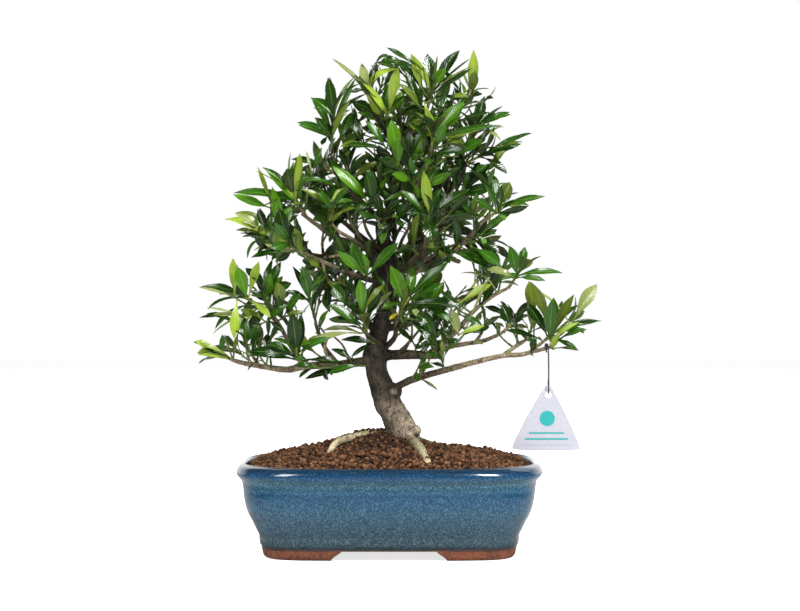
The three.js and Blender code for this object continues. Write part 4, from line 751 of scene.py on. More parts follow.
def make_speckle_group():
    """Speckle: a colour lightened and darkened by three sizes of noise, and the noise as a height."""
    tree, given, out = group("speckle", [
        ("Vector", "NodeSocketVector", None), ("Colour", "NodeSocketColor", (0.5, 0.5, 0.5, 1)),
        ("Light", "NodeSocketColor", (0.8, 0.8, 0.8, 1)), ("Dark", "NodeSocketColor", (0.1, 0.1, 0.1, 1)),
        ("Scale", "NodeSocketFloat", 200.0)], [
        ("Colour", "NodeSocketColor"), ("Height", "NodeSocketFloat")])
    fine = noise(tree, given["Vector"], scaled(tree, given["Scale"], 3.1), 4)
    broad = noise(tree, given["Vector"], given["Scale"], 5, 0.65)
    wide = noise(tree, given["Vector"], scaled(tree, given["Scale"], 0.23), 3)
    darker = scaled(tree, broad, -8.0, 4.1, clamp=True)
    lighter = scaled(tree, fine, 9.0, -4.9, clamp=True)
    colour = mixed(tree, scaled(tree, darker, 0.75), given["Colour"], given["Dark"])
    colour = mixed(tree, scaled(tree, lighter, 0.6), colour, given["Light"])
    colour = times(tree, colour, grey(tree, scaled(tree, wide, 1.2, 0.4)))
    tree.links.new(colour, out["Colour"])
    tree.links.new(scaled(tree, fine, 0.3, scaled(tree, broad, 0.7)), out["Height"])
    return tree


def make_vein_group():
    """Veins on a leaf's map (x across from 0 to 1, y along): a midrib mask that narrows to the tip, side
    veins as thin lines where (y - 0.2 |v|) 11 passes a whole number, and the swell of the blade between."""
    tree, given, out = group("veins", [("Vector", "NodeSocketVector", None)], [
        ("Midrib", "NodeSocketFloat"), ("Side veins", "NodeSocketFloat"), ("Swell", "NodeSocketFloat")])
    place = node(tree, "ShaderNodeSeparateXYZ", {0: given["Vector"]}).outputs
    from_rib = maths(tree, "ABSOLUTE", scaled(tree, place[0], 2.0, -1.0))
    rib_half = scaled(tree, place[1], -0.08, 0.14)
    midrib = maths(tree, "SUBTRACT", 1.0, maths(tree, "DIVIDE", from_rib, rib_half), clamp=True)
    along = scaled(tree, scaled(tree, from_rib, -0.2, place[1]), 11.0)
    phase = maths(tree, "ABSOLUTE", scaled(tree, maths(tree, "FRACT", along), 2.0, -1.0))
    side = scaled(tree, phase, 6.0, -5.0, clamp=True)
    side = scaled(tree, side, maths(tree, "SUBTRACT", 1.0, from_rib))
    tree.links.new(midrib, out["Midrib"])
    tree.links.new(side, out["Side veins"])
    tree.links.new(maths(tree, "SUBTRACT", 1.0, maths(tree, "POWER", phase, 2.0)), out["Swell"])
    return tree


SPECKLE = make_speckle_group()
VEINS = make_vein_group()


def object_place(tree):
    """Where a point lies in its object."""
    return node(tree, "ShaderNodeTexCoord").outputs["Object"]


def height_in(tree, place):
    """The upward part of a place."""
    return node(tree, "ShaderNodeSeparateXYZ", {0: place}).outputs[2]


def stretched(tree, place, upwards):
    """A place whose upward part is shortened, so that noise at it is drawn out upwards."""
    return node(tree, "ShaderNodeMapping", {"Vector": place, "Scale": (1, 1, upwards)}).outputs[0]


def tint_of(tree):
    """The colour that the mesh carries."""
    return node(tree, "ShaderNodeVertexColor", layer_name="tint").outputs["Color"]


# What the veins add to a leaf's colour, and the factors of its clouds
VEIN_LIGHT = (0.085, 0.130, 0.022, 1)
LEAF_CLOUD = (1.25, 1.2, 0.9, 1)
SOIL_LIGHT = (0.30, 0.17, 0.11, 1)
SOIL_DARK = (0.03, 0.013, 0.008, 1)
CLAY_COLOUR = (0.155, 0.046, 0.020, 1)
CLAY_LIGHT = (0.30, 0.15, 0.09, 1)
CLAY_DARK = (0.045, 0.016, 0.011, 1)
# Painted shade at the top of the feet, where they meet the pot
CLAY_TOP_SHADE = (0.045, 0.018, 0.014, 1)
CLAY_SCALE = 240.0
# The glaze's colours as share of the rim's height and colour, the factors of its mottling, and the painted
# shade along its lower edge
GLAZE_BANDS = [
    (0.13, (0.018, 0.035, 0.046)), (0.24, (0.028, 0.059, 0.080)), (0.50, (0.026, 0.070, 0.112)),
    (0.66, (0.015, 0.060, 0.115)), (0.72, (0.012, 0.054, 0.105)), (0.79, (0.019, 0.078, 0.132)),
    (0.835, (0.028, 0.080, 0.108)), (0.875, (0.021, 0.067, 0.108)), (0.92, (0.012, 0.048, 0.106)),
    (0.98, (0.006, 0.022, 0.045))]
GLAZE_PALER = (2.6, 1.9, 1.6, 1)
GLAZE_DARKER = (0.40, 0.55, 0.62, 1)
GLAZE_EDGE_SHADE = (0.026, 0.028, 0.031, 1)
# Where the throwing rings are strongest, as a share of the rim's height, and their phase from foot to rim
NECK_LEVEL = 0.78
RING_PHASE = 78.0


def make_leaf_material(name):
    """Waxy leaf: its own tint, paler along the veins, the blade swelling between them, and matte below."""
    material, tree, principled = shader(name, Specular_IOR_Level=0.5)
    tint = tint_of(tree)
    lines = place_group(tree, VEINS, Vector=node(tree, "ShaderNodeUVMap", uv_map="map").outputs[0])
    cloud = noise(tree, object_place(tree), 160.0, 4)
    share = scaled(tree, lines["Side veins"], 0.12, scaled(tree, lines["Midrib"], 0.8))
    colour = mixed(tree, share, tint, mixed(tree, 1.0, tint, VEIN_LIGHT, "ADD"))
    clouded = scaled(tree, cloud, 1.6, -0.6, clamp=True)
    colour = mixed(tree, clouded, colour, times(tree, colour, LEAF_CLOUD))
    feed(principled, "Base Color", colour)
    matte = node(tree, "ShaderNodeAttribute", attribute_name="matte").outputs["Fac"]
    feed(principled, "Roughness", matte)
    height = scaled(tree, lines["Swell"], 0.35, scaled(tree, cloud, 0.15))
    height = scaled(tree, lines["Midrib"], -0.4, height)
    feed(principled, "Normal", bump(tree, height, 0.0003))
    return material


def make_wood_material(name, light, dark, relief):
    """Bark, twig or root: the piece's tint speckled lighter and darker by two factors, and rough."""
    material, tree, principled = shader(name, 0.82, Specular_IOR_Level=0.25)
    tint = tint_of(tree)
    speckle = place_group(tree, SPECKLE, Vector=stretched(tree, object_place(tree), 0.55), Colour=tint,
                          Light=times(tree, tint, light), Dark=times(tree, tint, dark), Scale=260.0)
    feed(principled, "Base Color", speckle["Colour"])
    feed(principled, "Normal", bump(tree, speckle["Height"], relief))
    return material


def make_soil_material(name):
    """Baked granules: each one's tint, dusted lighter and darker, without gloss."""
    material, tree, principled = shader(name, 0.95, Specular_IOR_Level=0.12)
    speckle = place_group(tree, SPECKLE, Vector=object_place(tree), Colour=tint_of(tree),
                          Light=SOIL_LIGHT, Dark=SOIL_DARK, Scale=420.0)
    feed(principled, "Base Color", speckle["Colour"])
    feed(principled, "Normal", bump(tree, speckle["Height"], 0.0005))
    return material


def clay_speckle(tree, place):
    """The colour and height of bare fired clay."""
    return place_group(tree, SPECKLE, Vector=place, Colour=CLAY_COLOUR, Light=CLAY_LIGHT, Dark=CLAY_DARK,
                       Scale=CLAY_SCALE)


def glaze_colour(tree, height, mottle, blotch):
    """Bands by height (blue lip, teal under it, deep blue, greyer below), broken by fine mottling, with faint
    throwing rings round the neck."""
    wander = scaled(tree, blotch, 0.006, -0.003)
    level = maths(tree, "DIVIDE", maths(tree, "ADD", height, wander), RIM_HEIGHT / 1000)
    rings = maths(tree, "SINE", scaled(tree, level, RING_PHASE))
    from_neck = maths(tree, "ABSOLUTE", maths(tree, "SUBTRACT", level, NECK_LEVEL))
    rings = scaled(tree, rings, scaled(tree, from_neck, -8.0, 1.0, clamp=True))
    bands = ramp(tree, level, GLAZE_BANDS)
    darker = times(tree, bands, GLAZE_DARKER)
    paler = times(tree, bands, GLAZE_PALER)
    colour = mixed(tree, scaled(tree, mottle, 6.0, -2.4, clamp=True), darker, bands)
    colour = mixed(tree, scaled(tree, mottle, 6.0, -3.1, clamp=True), colour, paler)
    return times(tree, colour, grey(tree, scaled(tree, rings, 0.23, 1.0)))


def make_glaze_material(name):
    """Blue glaze with a clear coat, and bare clay under a band of painted shade where it stops above the
    feet.
    """
    material, tree, principled = shader(name, Coat_IOR=1.4, Coat_Roughness=0.08, Specular_IOR_Level=0.12)
    place = object_place(tree)
    height = height_in(tree, place)
    drawn = stretched(tree, place, 0.7)
    mottle = noise(tree, drawn, 800.0, 2, 0.6)
    blotch = noise(tree, drawn, 70.0, 4, 0.6)
    edge = maths(tree, "ADD", height, scaled(tree, blotch, 0.0016, -0.0008))
    glazed = scaled(tree, edge, 2500.0, -2500 * GLAZE_EDGE / 1000, clamp=True)
    # Painted shade: a dark band just above where the glaze stops, fading out about 12 mm up.
    line = scaled(tree, edge, -900.0, 900 * GLAZE_EDGE / 1000 + 2.2, clamp=True)
    colour = mixed(tree, line, glaze_colour(tree, height, mottle, blotch), GLAZE_EDGE_SHADE)
    colour = mixed(tree, glazed, clay_speckle(tree, place)["Colour"], colour)
    feed(principled, "Base Color", colour)
    feed(principled, "Roughness", scaled(tree, glazed, -0.55, 0.75))
    feed(principled, "Coat Weight", glazed)
    ripple = scaled(tree, blotch, 0.8, scaled(tree, mottle, 0.2))
    feed(principled, "Normal", bump(tree, ripple, 0.0006))
    return material


def make_clay_material(name):
    """Bare fired clay of the feet: brown red, darker in blots, with painted shade at the glaze's edge where
    the feet meet the pot, grainy.
    """
    material, tree, principled = shader(name, 0.75, Specular_IOR_Level=0.3)
    place = object_place(tree)
    speckle = clay_speckle(tree, place)
    # Painted shade: the top of each foot, where it meets the pot, is darker.
    edge = scaled(tree, height_in(tree, place), 700.0, -6.2, clamp=True)
    colour = mixed(tree, scaled(tree, edge, 0.7), speckle["Colour"], CLAY_TOP_SHADE)
    feed(principled, "Base Color", colour)
    feed(principled, "Normal", bump(tree, speckle["Height"], 0.0004))
    return material


def make_plain_material(name, colour, roughness, relief=0.0001, **settings):
    """Moulded plastic or drawn wire: one colour with a faint cloud in it and a faint grain."""
    material, tree, principled = shader(name, roughness, **settings)
    cloud = noise(tree, object_place(tree), 240.0, 4)
    shade = grey(tree, scaled(tree, cloud, 0.24, 0.88))
    feed(principled, "Base Color", times(tree, (*colour, 1), shade))
    feed(principled, "Normal", bump(tree, cloud, relief))
    return material


LEAF = make_leaf_material("waxy_leaf")
STEM = make_wood_material("green_stem", (1.8, 1.7, 1.7, 1), (0.5, 0.5, 0.5, 1), 0.0002)
BARK = make_wood_material("bark", (2.6, 2.6, 2.6, 1), (0.07, 0.06, 0.05, 1), 0.0016)
SOIL = make_soil_material("soil_granules")
# Dark earth: the packed soil's own dark colour, made near black to paint shade into the gaps between
# granules.
EARTH_AND_GAP_SHADE = make_plain_material("dark_earth_gap_shade", (0.020, 0.010, 0.007), 0.95, 0.0006, Specular_IOR_Level=0.1)
GLAZE = make_glaze_material("blue_glaze")
CLAY = make_clay_material("bare_clay")
TAG = make_plain_material("tag_plastic", (0.37, 0.37, 0.42), 0.35)
TAG_MARK = make_plain_material("tag_mark", (0.015, 0.28, 0.27), 0.4)
TAG_RULE = make_plain_material("tag_rule", (0.30, 0.31, 0.36), 0.5)
WIRE = make_plain_material("tie_wire", (0.030, 0.022, 0.020), 0.45, Metallic=0.6)
SCREEN = make_plain_material("drain_screen_plastic", (0.012, 0.012, 0.012), 0.55)


# Leaves, stems and buds

# Linear colour of a leaf's upper side, by tone
TONES = {
    "d": (0.007, 0.025, 0.002), "g": (0.016, 0.060, 0.003), "b": (0.042, 0.122, 0.004),
    "o": (0.068, 0.098, 0.010), "l": (0.165, 0.240, 0.024), "y": (0.370, 0.320, 0.020),
    "p": (0.150, 0.180, 0.060)}
# Shares of the leaves that the rule grows, by tone: first pair, then the others
YOUNG_TONES = ("o", "b", "o", "g", "g", "d", "g", "d")
OLD_TONES = ("d", "g", "d", "b", "g", "d", "o", "d")
# One leaf shell: places along it, then round each ring, over the upper side and back below, and thickness
LEAF_STATIONS = np.array((0, 0.09, 0.2, 0.32, 0.44, 0.56, 0.68, 0.79, 0.88, 0.95, 1))
LEAF_RING = np.array((-1, -0.5, 0, 0.5, 1, 0.55, 0, -0.55))
UNDER = np.array((0, 0, 0, 0, 0, 1, 1, 1))
BLADE_THICK = 0.45
LEAF_FACES = tube_faces(len(LEAF_STATIONS) - 1, len(LEAF_RING))
# Roughness of a leaf's upper and under side, and what makes the under side paler
UPPER_ROUGH = 0.17
UNDER_ROUGH = 0.6
UNDER_LIGHT = (0.020, 0.031, 0.007)


def leaf_shell(leaf, peak, wave, turns, twist):
    """Points of a leaf shell, (stations, ring): the middle surface, with margins that wave by wave |v|^2
    sin(turns u + 1.7 v), turned about the midrib by twist (u - 0.4), a groove of 0.25 mm along the midrib,
    and its underside a thickness below, which grows to the stalk."""
    u = LEAF_STATIONS[:-1, None]
    v = LEAF_RING[None]
    flat = leaf_points(leaf, u, v, peak, 1.05)
    ahead = unit(leaf["chord"] + leaf["rise"] * 4 * leaf["bend"] * (1 - 2 * u[..., None]))
    normal = np.cross(ahead, leaf["side"])
    rib = leaf_points(leaf, u, 0 * v)
    across = flat - rib
    angle = (twist * (u - 0.4))[..., None]
    across = across * np.cos(angle) + np.cross(np.broadcast_to(ahead, across.shape), across) * np.sin(angle)
    swing = wave * v * v * np.sin(turns * u + 1.7 * v) * np.sin(np.pi * np.clip(u * 1.1, 0, 1))
    groove = -0.25 * (1 - np.abs(v)) ** 2 * (1 - UNDER)
    thick = BLADE_THICK * (1 + 1.8 * np.clip(1 - u / 0.18, 0, 1)) * UNDER
    points = rib + across + normal * (swing + groove - thick)[..., None]
    tip = leaf["foot"] + leaf["chord"]
    return np.concatenate([points.reshape(-1, 3), [leaf["foot"], tip]])


def leaf_tints(tone, light):
    """Colours for the faces of a leaf shell, with the matte value: upper faces glossy, under faces paler."""
    upper = np.array((*TONES[tone], UPPER_ROUGH))
    upper[:3] *= light
    lower = np.array((*(0.7 * upper[:3] + UNDER_LIGHT), UNDER_ROUGH))
    is_under = (UNDER + np.roll(UNDER, -1) > 0)[:, None]
    colours = np.where(is_under, lower, upper)
    return [np.tile(colours, (len(LEAF_STATIONS) - 2, 1)), colours, colours]


LEAF_MAP = np.concatenate([
    np.stack(np.broadcast_arrays(0.5 + 0.5 * LEAF_RING[None], LEAF_STATIONS[:-1, None]), -1).reshape(-1, 2),
    [(0.5, 0), (0.5, 1)]])
LEAF_RIM = np.concatenate([
    np.tile(np.where(LEAF_RING == -1, 1, np.where(LEAF_RING == 1, 2, 0)), len(LEAF_STATIONS) - 1), [0, 0]])


def add_leaves(skin, leaves, draws):
    """Every leaf's shell, with a wave, a twist and a brightness of its own."""
    for leaf in leaves:
        wave = draws.between(0.2, 0.9) * leaf["width"] / 9
        peak = draws.between(1.1, 1.75)
        points = leaf_shell(leaf, peak, wave, draws.between(7, 15), draws.between(-0.5, 0.5))
        tints = leaf_tints(leaf["tone"], draws.between(0.75, 1.3))
        skin.add(points, LEAF_FACES, tints, LEAF_MAP, LEAF_RIM)


def add_stem(skin, curve, begin, radii, tint):
    """A green stem along a shoot's curve, a little thicker at each pair of leaves, with a pointed bud."""
    length = np.linalg.norm(curve[2] - curve[0])
    t = np.linspace(begin, 1, max(4, int(length * (1 - begin) / 2)))
    path = on_curve(curve, t)
    way = tangent(curve, 1)
    thick = taper(radii, len(t)) * (1 + 0.12 * np.cos(t * length * 0.9))
    bud = path[-1] + way * np.array((0.8, 1.8, 3.0, 4.0))[:, None]
    path = np.concatenate([path, bud])
    thick = np.concatenate([thick, np.array((1.15, 1.0, 0.55, 0.1)) * radii[1] * 1.15])
    skin.add_tube(rings_along(path, thick, 7), np.array(tint), STEM_SLOT)


def tone_leaves(leaves, draws):
    """Leaves that a rule grew get a tone drawn from the young or the old list. Chosen ones keep their own."""
    grown = [leaf for leaf in leaves if leaf["tone"] is None]
    for order, leaf in enumerate(grown):
        tones = YOUNG_TONES if order < 2 else OLD_TONES
        leaf["tone"] = tones[int(draws.between(0, len(tones)))]


# Side sprigs that fill the crown between the shoots

GREEN_TINT = (0.085, 0.130, 0.026, 0.5)
YELLOW_TINT = (0.200, 0.220, 0.045, 0.5)
SPRIG_STEM = (1.1, 0.8)
# Number of the stem's material on a piece of leaves
STEM_SLOT = 1
# Cells of the crown: size, how many along each axis and first corner. Then those of the front outline
CELL = 1.5
CELLS = (288, 180, 280)
CORNER = np.array((-216, -135, 90))
OUTLINE_CELL = 3
OUTLINE_CELLS = (144, 140)
# A cell and its six neighbours
TOUCHING = np.array([(0, 0, 0), (1, 0, 0), (-1, 0, 0), (0, 1, 0), (0, -1, 0), (0, 0, 1), (0, 0, -1)])
# Discs of the front view that leaves fill although no chosen leaf is there: x, z, radius
FULL_CROWN = [(-30, 412, 36), (0, 400, 60), (30, 420, 50), (-20, 370, 50), (50, 370, 50)]
# Discs of the front view that stay open between the branches: x, z, radius
OPEN_CROWN = [
    (-76, 310, 13), (-121, 282, 12), (50, 265, 10), (70, 268, 18), (88, 270, 12), (118, 249, 14),
    (105, 243, 9), (65, 190, 10), (82, 198, 10), (97, 204, 10), (112, 208, 10), (124, 212, 9),
    (-24, 316, 9), (-82, 217, 7), (-36, 257, 6), (-38, 245, 6), (26, 266, 10), (-110, 187, 10),
    (-165, 210, 9), (186, 206, 10), (-90, 400, 12), (108, 382, 8), (112, 322, 12), (148, 270, 10),
    (-137, 307, 9), (66, 300, 9), (-90, 260, 8), (15, 205, 12), (30, 214, 9), (150, 190, 20),
    (20, 180, 16), (45, 165, 18), (75, 160, 18), (100, 170, 14), (125, 178, 12), (-60, 165, 16),
    (-90, 160, 17), (-120, 160, 17), (-150, 165, 14), (-180, 175, 10), (-30, 165, 16), (-81, 326, 8),
    (-116, 288, 10), (-100, 287, 10), (-100, 274, 7), (-148, 306, 9), (-112, 238, 6), (-82, 226, 8),
    (-45, 319, 8), (-70, 300, 8), (60, 282, 8), (40, 250, 8), (-146, 322, 5), (128, 245, 8),
    (97, 466, 8), (-82, 408, 8), (-82, 388, 7), (-97, 399, 9), (116, 256, 10), (-148, 178, 8),
    (-168, 218, 8), (-172, 254, 6), (-85, 312, 7), (52, 264, 7), (-117, 284, 10), (150, 289, 8)]
# The most of a leaf that may lie in an open gap: one that the rule grew, and a chosen one
OPEN_SHARE = 0.4
CHOSEN_SHARE = 0.7
# How many ways a sprig is tried at one place
SPRIG_TRIES = 8
# Sprays that stand in front of the rest: the bud, then each leaf as tip x, y, z, width, bend and tone
SPRAYS = [
    ((-151, -44, 252), [(-153, -44, 291, 9, 0.05, "l"), (-187, -40, 262, 4, 0.05, "p"),
        (-151, -52, 212, 10, 0.1, "l")]),
    ((-139, -46, 250), [(-148, -48, 282, 13, 0.06, "b"), (-127, -46, 287, 9, 0.05, "l"),
        (-115, -54, 232, 8, 0.1, "l")]),
    ((-122, -40, 248), [(-115, -44, 276, 11, 0.08, "b"), (-107, -36, 287, 5, 0.05, "p"),
        (-136, -44, 258, 10, 0.1, "d")]),
    ((-105, -36, 240), [(-109, -40, 267, 12, 0.08, "o")]),
    ((-147, -34, 234), [(-174, -34, 235, 5, 0.05, "p"), (-189, -32, 232, 6, 0.05, "d"),
        (-179, -29, 242, 3, 0.05, "p"), (-173, -38, 216, 3, 0.1, "p")]),
    ((-153, -40, 190), [(-191, -40, 209, 8, 0.05, "d"), (-185, -45, 208, 4, 0.1, "l"),
        (-187, -43, 196, 6, 0.08, "l"), (-163, -36, 215, 3, 0.05, "o"), (-149, -44, 216, 4, 0.1, "o")]),
    ((-92, -34, 191), [(-140, -38, 195, 8, 0.06, "g"), (-120, -32, 207, 12, 0.12, "g"),
        (-97, -42, 235, 14, 0.1, "g")]),
    ((-135, -40, 197), [(-124, -44, 221, 8, 0.1, "d"), (-150, -40, 210, 4, 0.15, "d")]),
    ((-119, -38, 196), [(-121, -38, 216, 9, 0.1, "d"), (-129, -42, 204, 3, 0.05, "y")]),
    ((-105, -34, 296), [(-136, -37, 291, 7, 0.1, "g"), (-134, -31, 298, 6, 0.25, "p")]),
    ((-93, -30, 344), [(-88, -34, 393, 6, 0.03, "l"), (-123, -36, 379, 8, 0.05, "b"),
        (-95, -22, 386, 13, 0.08, "b"), (-105, -28, 372, 9, 0.08, "l")]),
    ((-116, -30, 340), [(-155, -32, 354, 11, -0.02, "b"), (-130, -28, 381, 5, 0.03, "l")]),
    ((-106, -34, 315), [(-115, -37, 361, 11, 0.06, "b"), (-97, -41, 342, 10, 0.06, "b"),
        (-123, -30, 327, 10, 0.1, "d")]),
    ((-115, -38, 311), [(-152, -38, 335, 9, 0.08, "p"), (-160, -42, 329, 5, 0.06, "l"),
        (-132, -45, 319, 6, 0.08, "l"), (-147, -35, 315, 3, 0.1, "d")]),
    ((-85, -26, 299), [(-94, -29, 321, 7, 0.06, "o"), (-101, -21, 328, 5, 0.1, "d")]),
    ((-54, -24, 340), [(-81, -24, 365, 8, 0.06, "d"), (-88, -29, 359, 8, 0.08, "o"),
        (-79, -20, 349, 4, 0.05, "d"), (-87, -24, 340, 4, 0.05, "d")]),
    ((-51, -20, 359), [(-92, -24, 365, 7, 0.18, "g")]),
    ((-76, -20, 375), [(-67, -22, 401, 6, 0.06, "g"), (-83, -20, 398, 3, 0.04, "p")]),
    ((-59, -30, 345), [(-43, -30, 360, 8, 0.06, "l"), (-36, -34, 347, 7, 0.06, "b")]),
    ((-58, -12, 409), [(-91, -12, 424, 9, 0.12, "g"), (-74, -17, 430, 11, 0.08, "d"),
        (-38, -8, 450, 7, 0.1, "o")]),
    ((-55, -12, 432), [(-77, -12, 451, 14, 0.08, "g"), (-61, -9, 471, 11, 0.05, "d"),
        (-34, -7, 472, 4, 0.2, "o"), (-26, -15, 465, 4, 0.3, "d")]),
    ((-1, -22, 430), [(-23, -25, 462, 8, 0.06, "l"), (9, -24, 479, 11, 0.04, "l")]),
    ((34, -34, 445), [(44, -37, 408, 9, 0.05, "l")]),
    ((34, -20, 478), [(-3, -22, 498, 9, 0.01, "d")]),
    ((56, -40, 297), [(97, -44, 281, 13, 0.1, "g")]),
    ((80, -42, 302), [(109, -46, 282, 12, 0.06, "g")]),
    ((141, -52, 231), [(136, -54, 268, 13, 0.04, "o")]),
    ((-20, -20, 459), [(-57, -20, 489, 5, 0.03, "p"), (-29, -23, 481, 10, 0.06, "p"),
        (-39, -16, 456, 6, 0.1, "d")]),
    ((-7, -22, 429), [(-23, -26, 453, 13, 0.08, "o"), (-1, -20, 464, 8, 0.05, "g"),
        (-37, -19, 446, 12, 0.1, "d")]),
    ((12, -8, 477), [(-18, -8, 474, 6, 0.8, "g"), (-14, -13, 488, 9, 0.1, "d")]),
    ((31, -12, 461), [(8, -12, 490, 14, 0.06, "d"), (21, -17, 494, 9, 0.04, "l")]),
    ((7, -40, 389), [(2, -43, 426, 14, 0.06, "b")]),
    ((-27, -20, 405), [(-44, -20, 427, 8, 0.15, "d"), (-49, -24, 401, 8, 0.08, "o"),
        (-37, -16, 436, 7, 0.1, "d")]),
    ((-3, -28, 398), [(-44, -31, 402, 9, 0.06, "d"), (-24, -28, 427, 9, 0.08, "g")]),
    ((-16, -34, 342), [(-23, -37, 376, 12, 0.05, "d")]),
    ((-9, -34, 344), [(20, -37, 356, 7, 0.06, "b")]),
    ((18, -34, 379), [(20, -34, 416, 12, 0.05, "d")]),
    ((34, -36, 329), [(16, -39, 356, 10, 0.06, "g")]),
    ((44, -12, 461), [(56, -17, 479, 12, 0.06, "b"), (70, -12, 498, 11, 0.06, "d"),
        (80, -8, 489, 3, 0.03, "d"), (82, -15, 482, 3, 0.05, "p"), (48, -7, 494, 3, 0.03, "o")]),
    ((84, 0, 457), [(84, -4, 500, 10, 0.04, "l"), (85, -7, 478, 10, 0.06, "o"), (72, 0, 480, 3, 0.03, "p"),
        (61, -5, 452, 8, 0.08, "o")]),
    ((87, -5, 423), [(94, -7, 451, 12, 0.06, "d"), (114, -7, 421, 3, 0.05, "p")]),
    ((67, -10, 427), [(99, -12, 436, 7, 0.05, "d")]),
    ((62, -15, 436), [(79, -15, 451, 9, 0.06, "d")]),
    ((44, -38, 402), [(74, -41, 442, 13, 0.05, "b"), (91, -35, 417, 6, 0.06, "o"),
        (36, -43, 437, 8, 0.04, "l")]),
    ((96, -8, 418), [(111, -10, 408, 4, 0.2, "p")]),
    ((65, -28, 391), [(92, -31, 407, 14, 0.06, "g")]),
    ((111, -8, 403), [(142, -8, 416, 4, 0.08, "d"), (133, -11, 407, 4, 0.05, "o")]),
    ((101, -12, 385), [(116, -14, 398, 9, 0.06, "o"), (86, -16, 377, 9, 0.08, "g")]),
    ((90, -22, 313), [(124, -25, 339, 9, 0.06, "g")]),
    ((155, -52, 212), [(133, -57, 246, 12, 0.06, "d"), (157, -55, 250, 13, 0.05, "g"),
        (179, -49, 255, 10, 0.05, "o"), (184, -55, 228, 6, 0.08, "l")]),
    ((179, -46, 227), [(203, -46, 265, 14, 0.06, "p"), (208, -43, 229, 4, 0.03, "d"),
        (144, -41, 259, 3, 0.15, "p")]),
    ((166, -50, 211), [(191, -53, 221, 9, 0.08, "g")]),
    ((159, -53, 202), [(164, -55, 217, 7, 0.05, "l"), (186, -51, 200, 4, 0.08, "p")]),
    ((138, -48, 197), [(143, -51, 212, 8, 0.06, "d")]),
    ((148, -46, 211), [(113, -46, 220, 7, 0.06, "d")]),
    ((119, -42, 224), [(110, -42, 245, 14, 0.06, "d"), (132, -45, 239, 10, 0.06, "d")]),
    ((69, -32, 246), [(101, -35, 265, 10, 0.06, "l")]),
    ((90, -28, 244), [(106, -28, 266, 8, 0.06, "d")]),
    ((75, -32, 220), [(98, -35, 273, 3, 0.03, "p")]),
    ((106, -30, 257), [(70, -30, 276, 3, 0.3, "p")]),
    ((67, -34, 241), [(51, -37, 256, 9, 0.06, "d")]),
    ((25, -42, 251), [(59, -45, 288, 9, 0.05, "b"), (71, -42, 241, 9, 0.1, "g")]),
    ((35, -42, 242), [(62, -45, 228, 9, 0.1, "g"), (55, -45, 268, 9, 0.05, "b")]),
    ((13, -44, 229), [(48, -47, 202, 11, 0.2, "d")]),
    ((33, -46, 230), [(22, -48, 240, 8, 0.06, "p")]),
    ((68, -34, 215), [(94, -37, 224, 7, 0.06, "l"), (61, -34, 241, 10, 0.06, "p"),
        (56, -31, 233, 4, 0.1, "d")]),
    ((83, -24, 208), [(93, -27, 206, 4, 0.05, "p")]),
    ((108, -26, 216), [(93, -26, 233, 3, 0.2, "d"), (105, -29, 228, 6, 0.06, "o")]),
    ((-78, -30, 246), [(-85, -33, 283, 12, 0.05, "g"), (-67, -27, 276, 8, 0.06, "g")]),
    ((-44, -26, 245), [(-50, -26, 273, 10, 0.06, "o"), (-36, -29, 272, 7, 0.06, "d"),
        (-58, -23, 266, 8, 0.06, "o")]),
    ((-29, -36, 217), [(-85, -41, 202, 9, 0.14, "p"), (-66, -33, 219, 6, 0.15, "p")]),
    ((-29, -38, 224), [(-60, -41, 245, 13, 0.06, "g")]),
    ((-26, -36, 232), [(-29, -39, 270, 11, 0.05, "b"), (-1, -36, 267, 6, 0.2, "o"),
        (-11, -40, 255, 3, 0.05, "d"), (3, -32, 258, 7, 0.08, "p")]),
    ((-16, -26, 207), [(-48, -29, 210, 9, 0.08, "d"), (-38, -26, 193, 6, 0.05, "d")]),
    ((-37, -24, 191), [(-58, -24, 201, 8, 0.08, "d")]),
    ((-47, -22, 187), [(-78, -25, 190, 9, 0.08, "d")]),
    ((-26, -20, 184), [(-60, -25, 177, 9, 0.1, "g")]),
    ((13, -42, 246), [(-8, -45, 241, 9, 0.1, "b")]),
    ((-121, -42, 228), [(-146, -44, 240, 9, 0.1, "o"), (-139, -46, 214, 8, 0.12, "g"),
        (-98, -40, 245, 10, 0.08, "g"), (-103, -46, 217, 7, 0.1, "d")]),
    ((-104, -38, 232), [(-86, -40, 256, 10, 0.06, "g"), (-112, -42, 258, 8, 0.08, "d"),
        (-82, -36, 238, 6, 0.1, "o")]),
    ((-47, -20, 181), [(-84, -20, 171, 9, 0.06, "d")]),
    ((28, -25, 173), [(48, -25, 160, 4, 0.06, "o"), (37, -25, 189, 8, 0.05, "o")]),
    ((92, -16, 424), [(121, -16, 434, 7, 0.08, "g"), (112, -20, 441, 5, 0.08, "d")]),
    ((26, -18, 203), [(6, -22, 222, 7, 0.1, "d"), (44, -20, 224, 10, 0.08, "d"),
        (48, -22, 208, 8, 0.1, "g")]),
    ((-16, -24, 468), [(22, -22, 471, 10, 0.58, "d")]),
    ((30, -30, 440), [(8, -34, 462, 10, 0.08, "o"), (14, -32, 478, 9, 0.05, "d")]),
]
# Steps in depth that a spray's leaf tries until it is clear. The last is for one that never is
SPRAY_DEPTHS = (0, -4, 4, -8, 8, -12, 12, -16, -4)


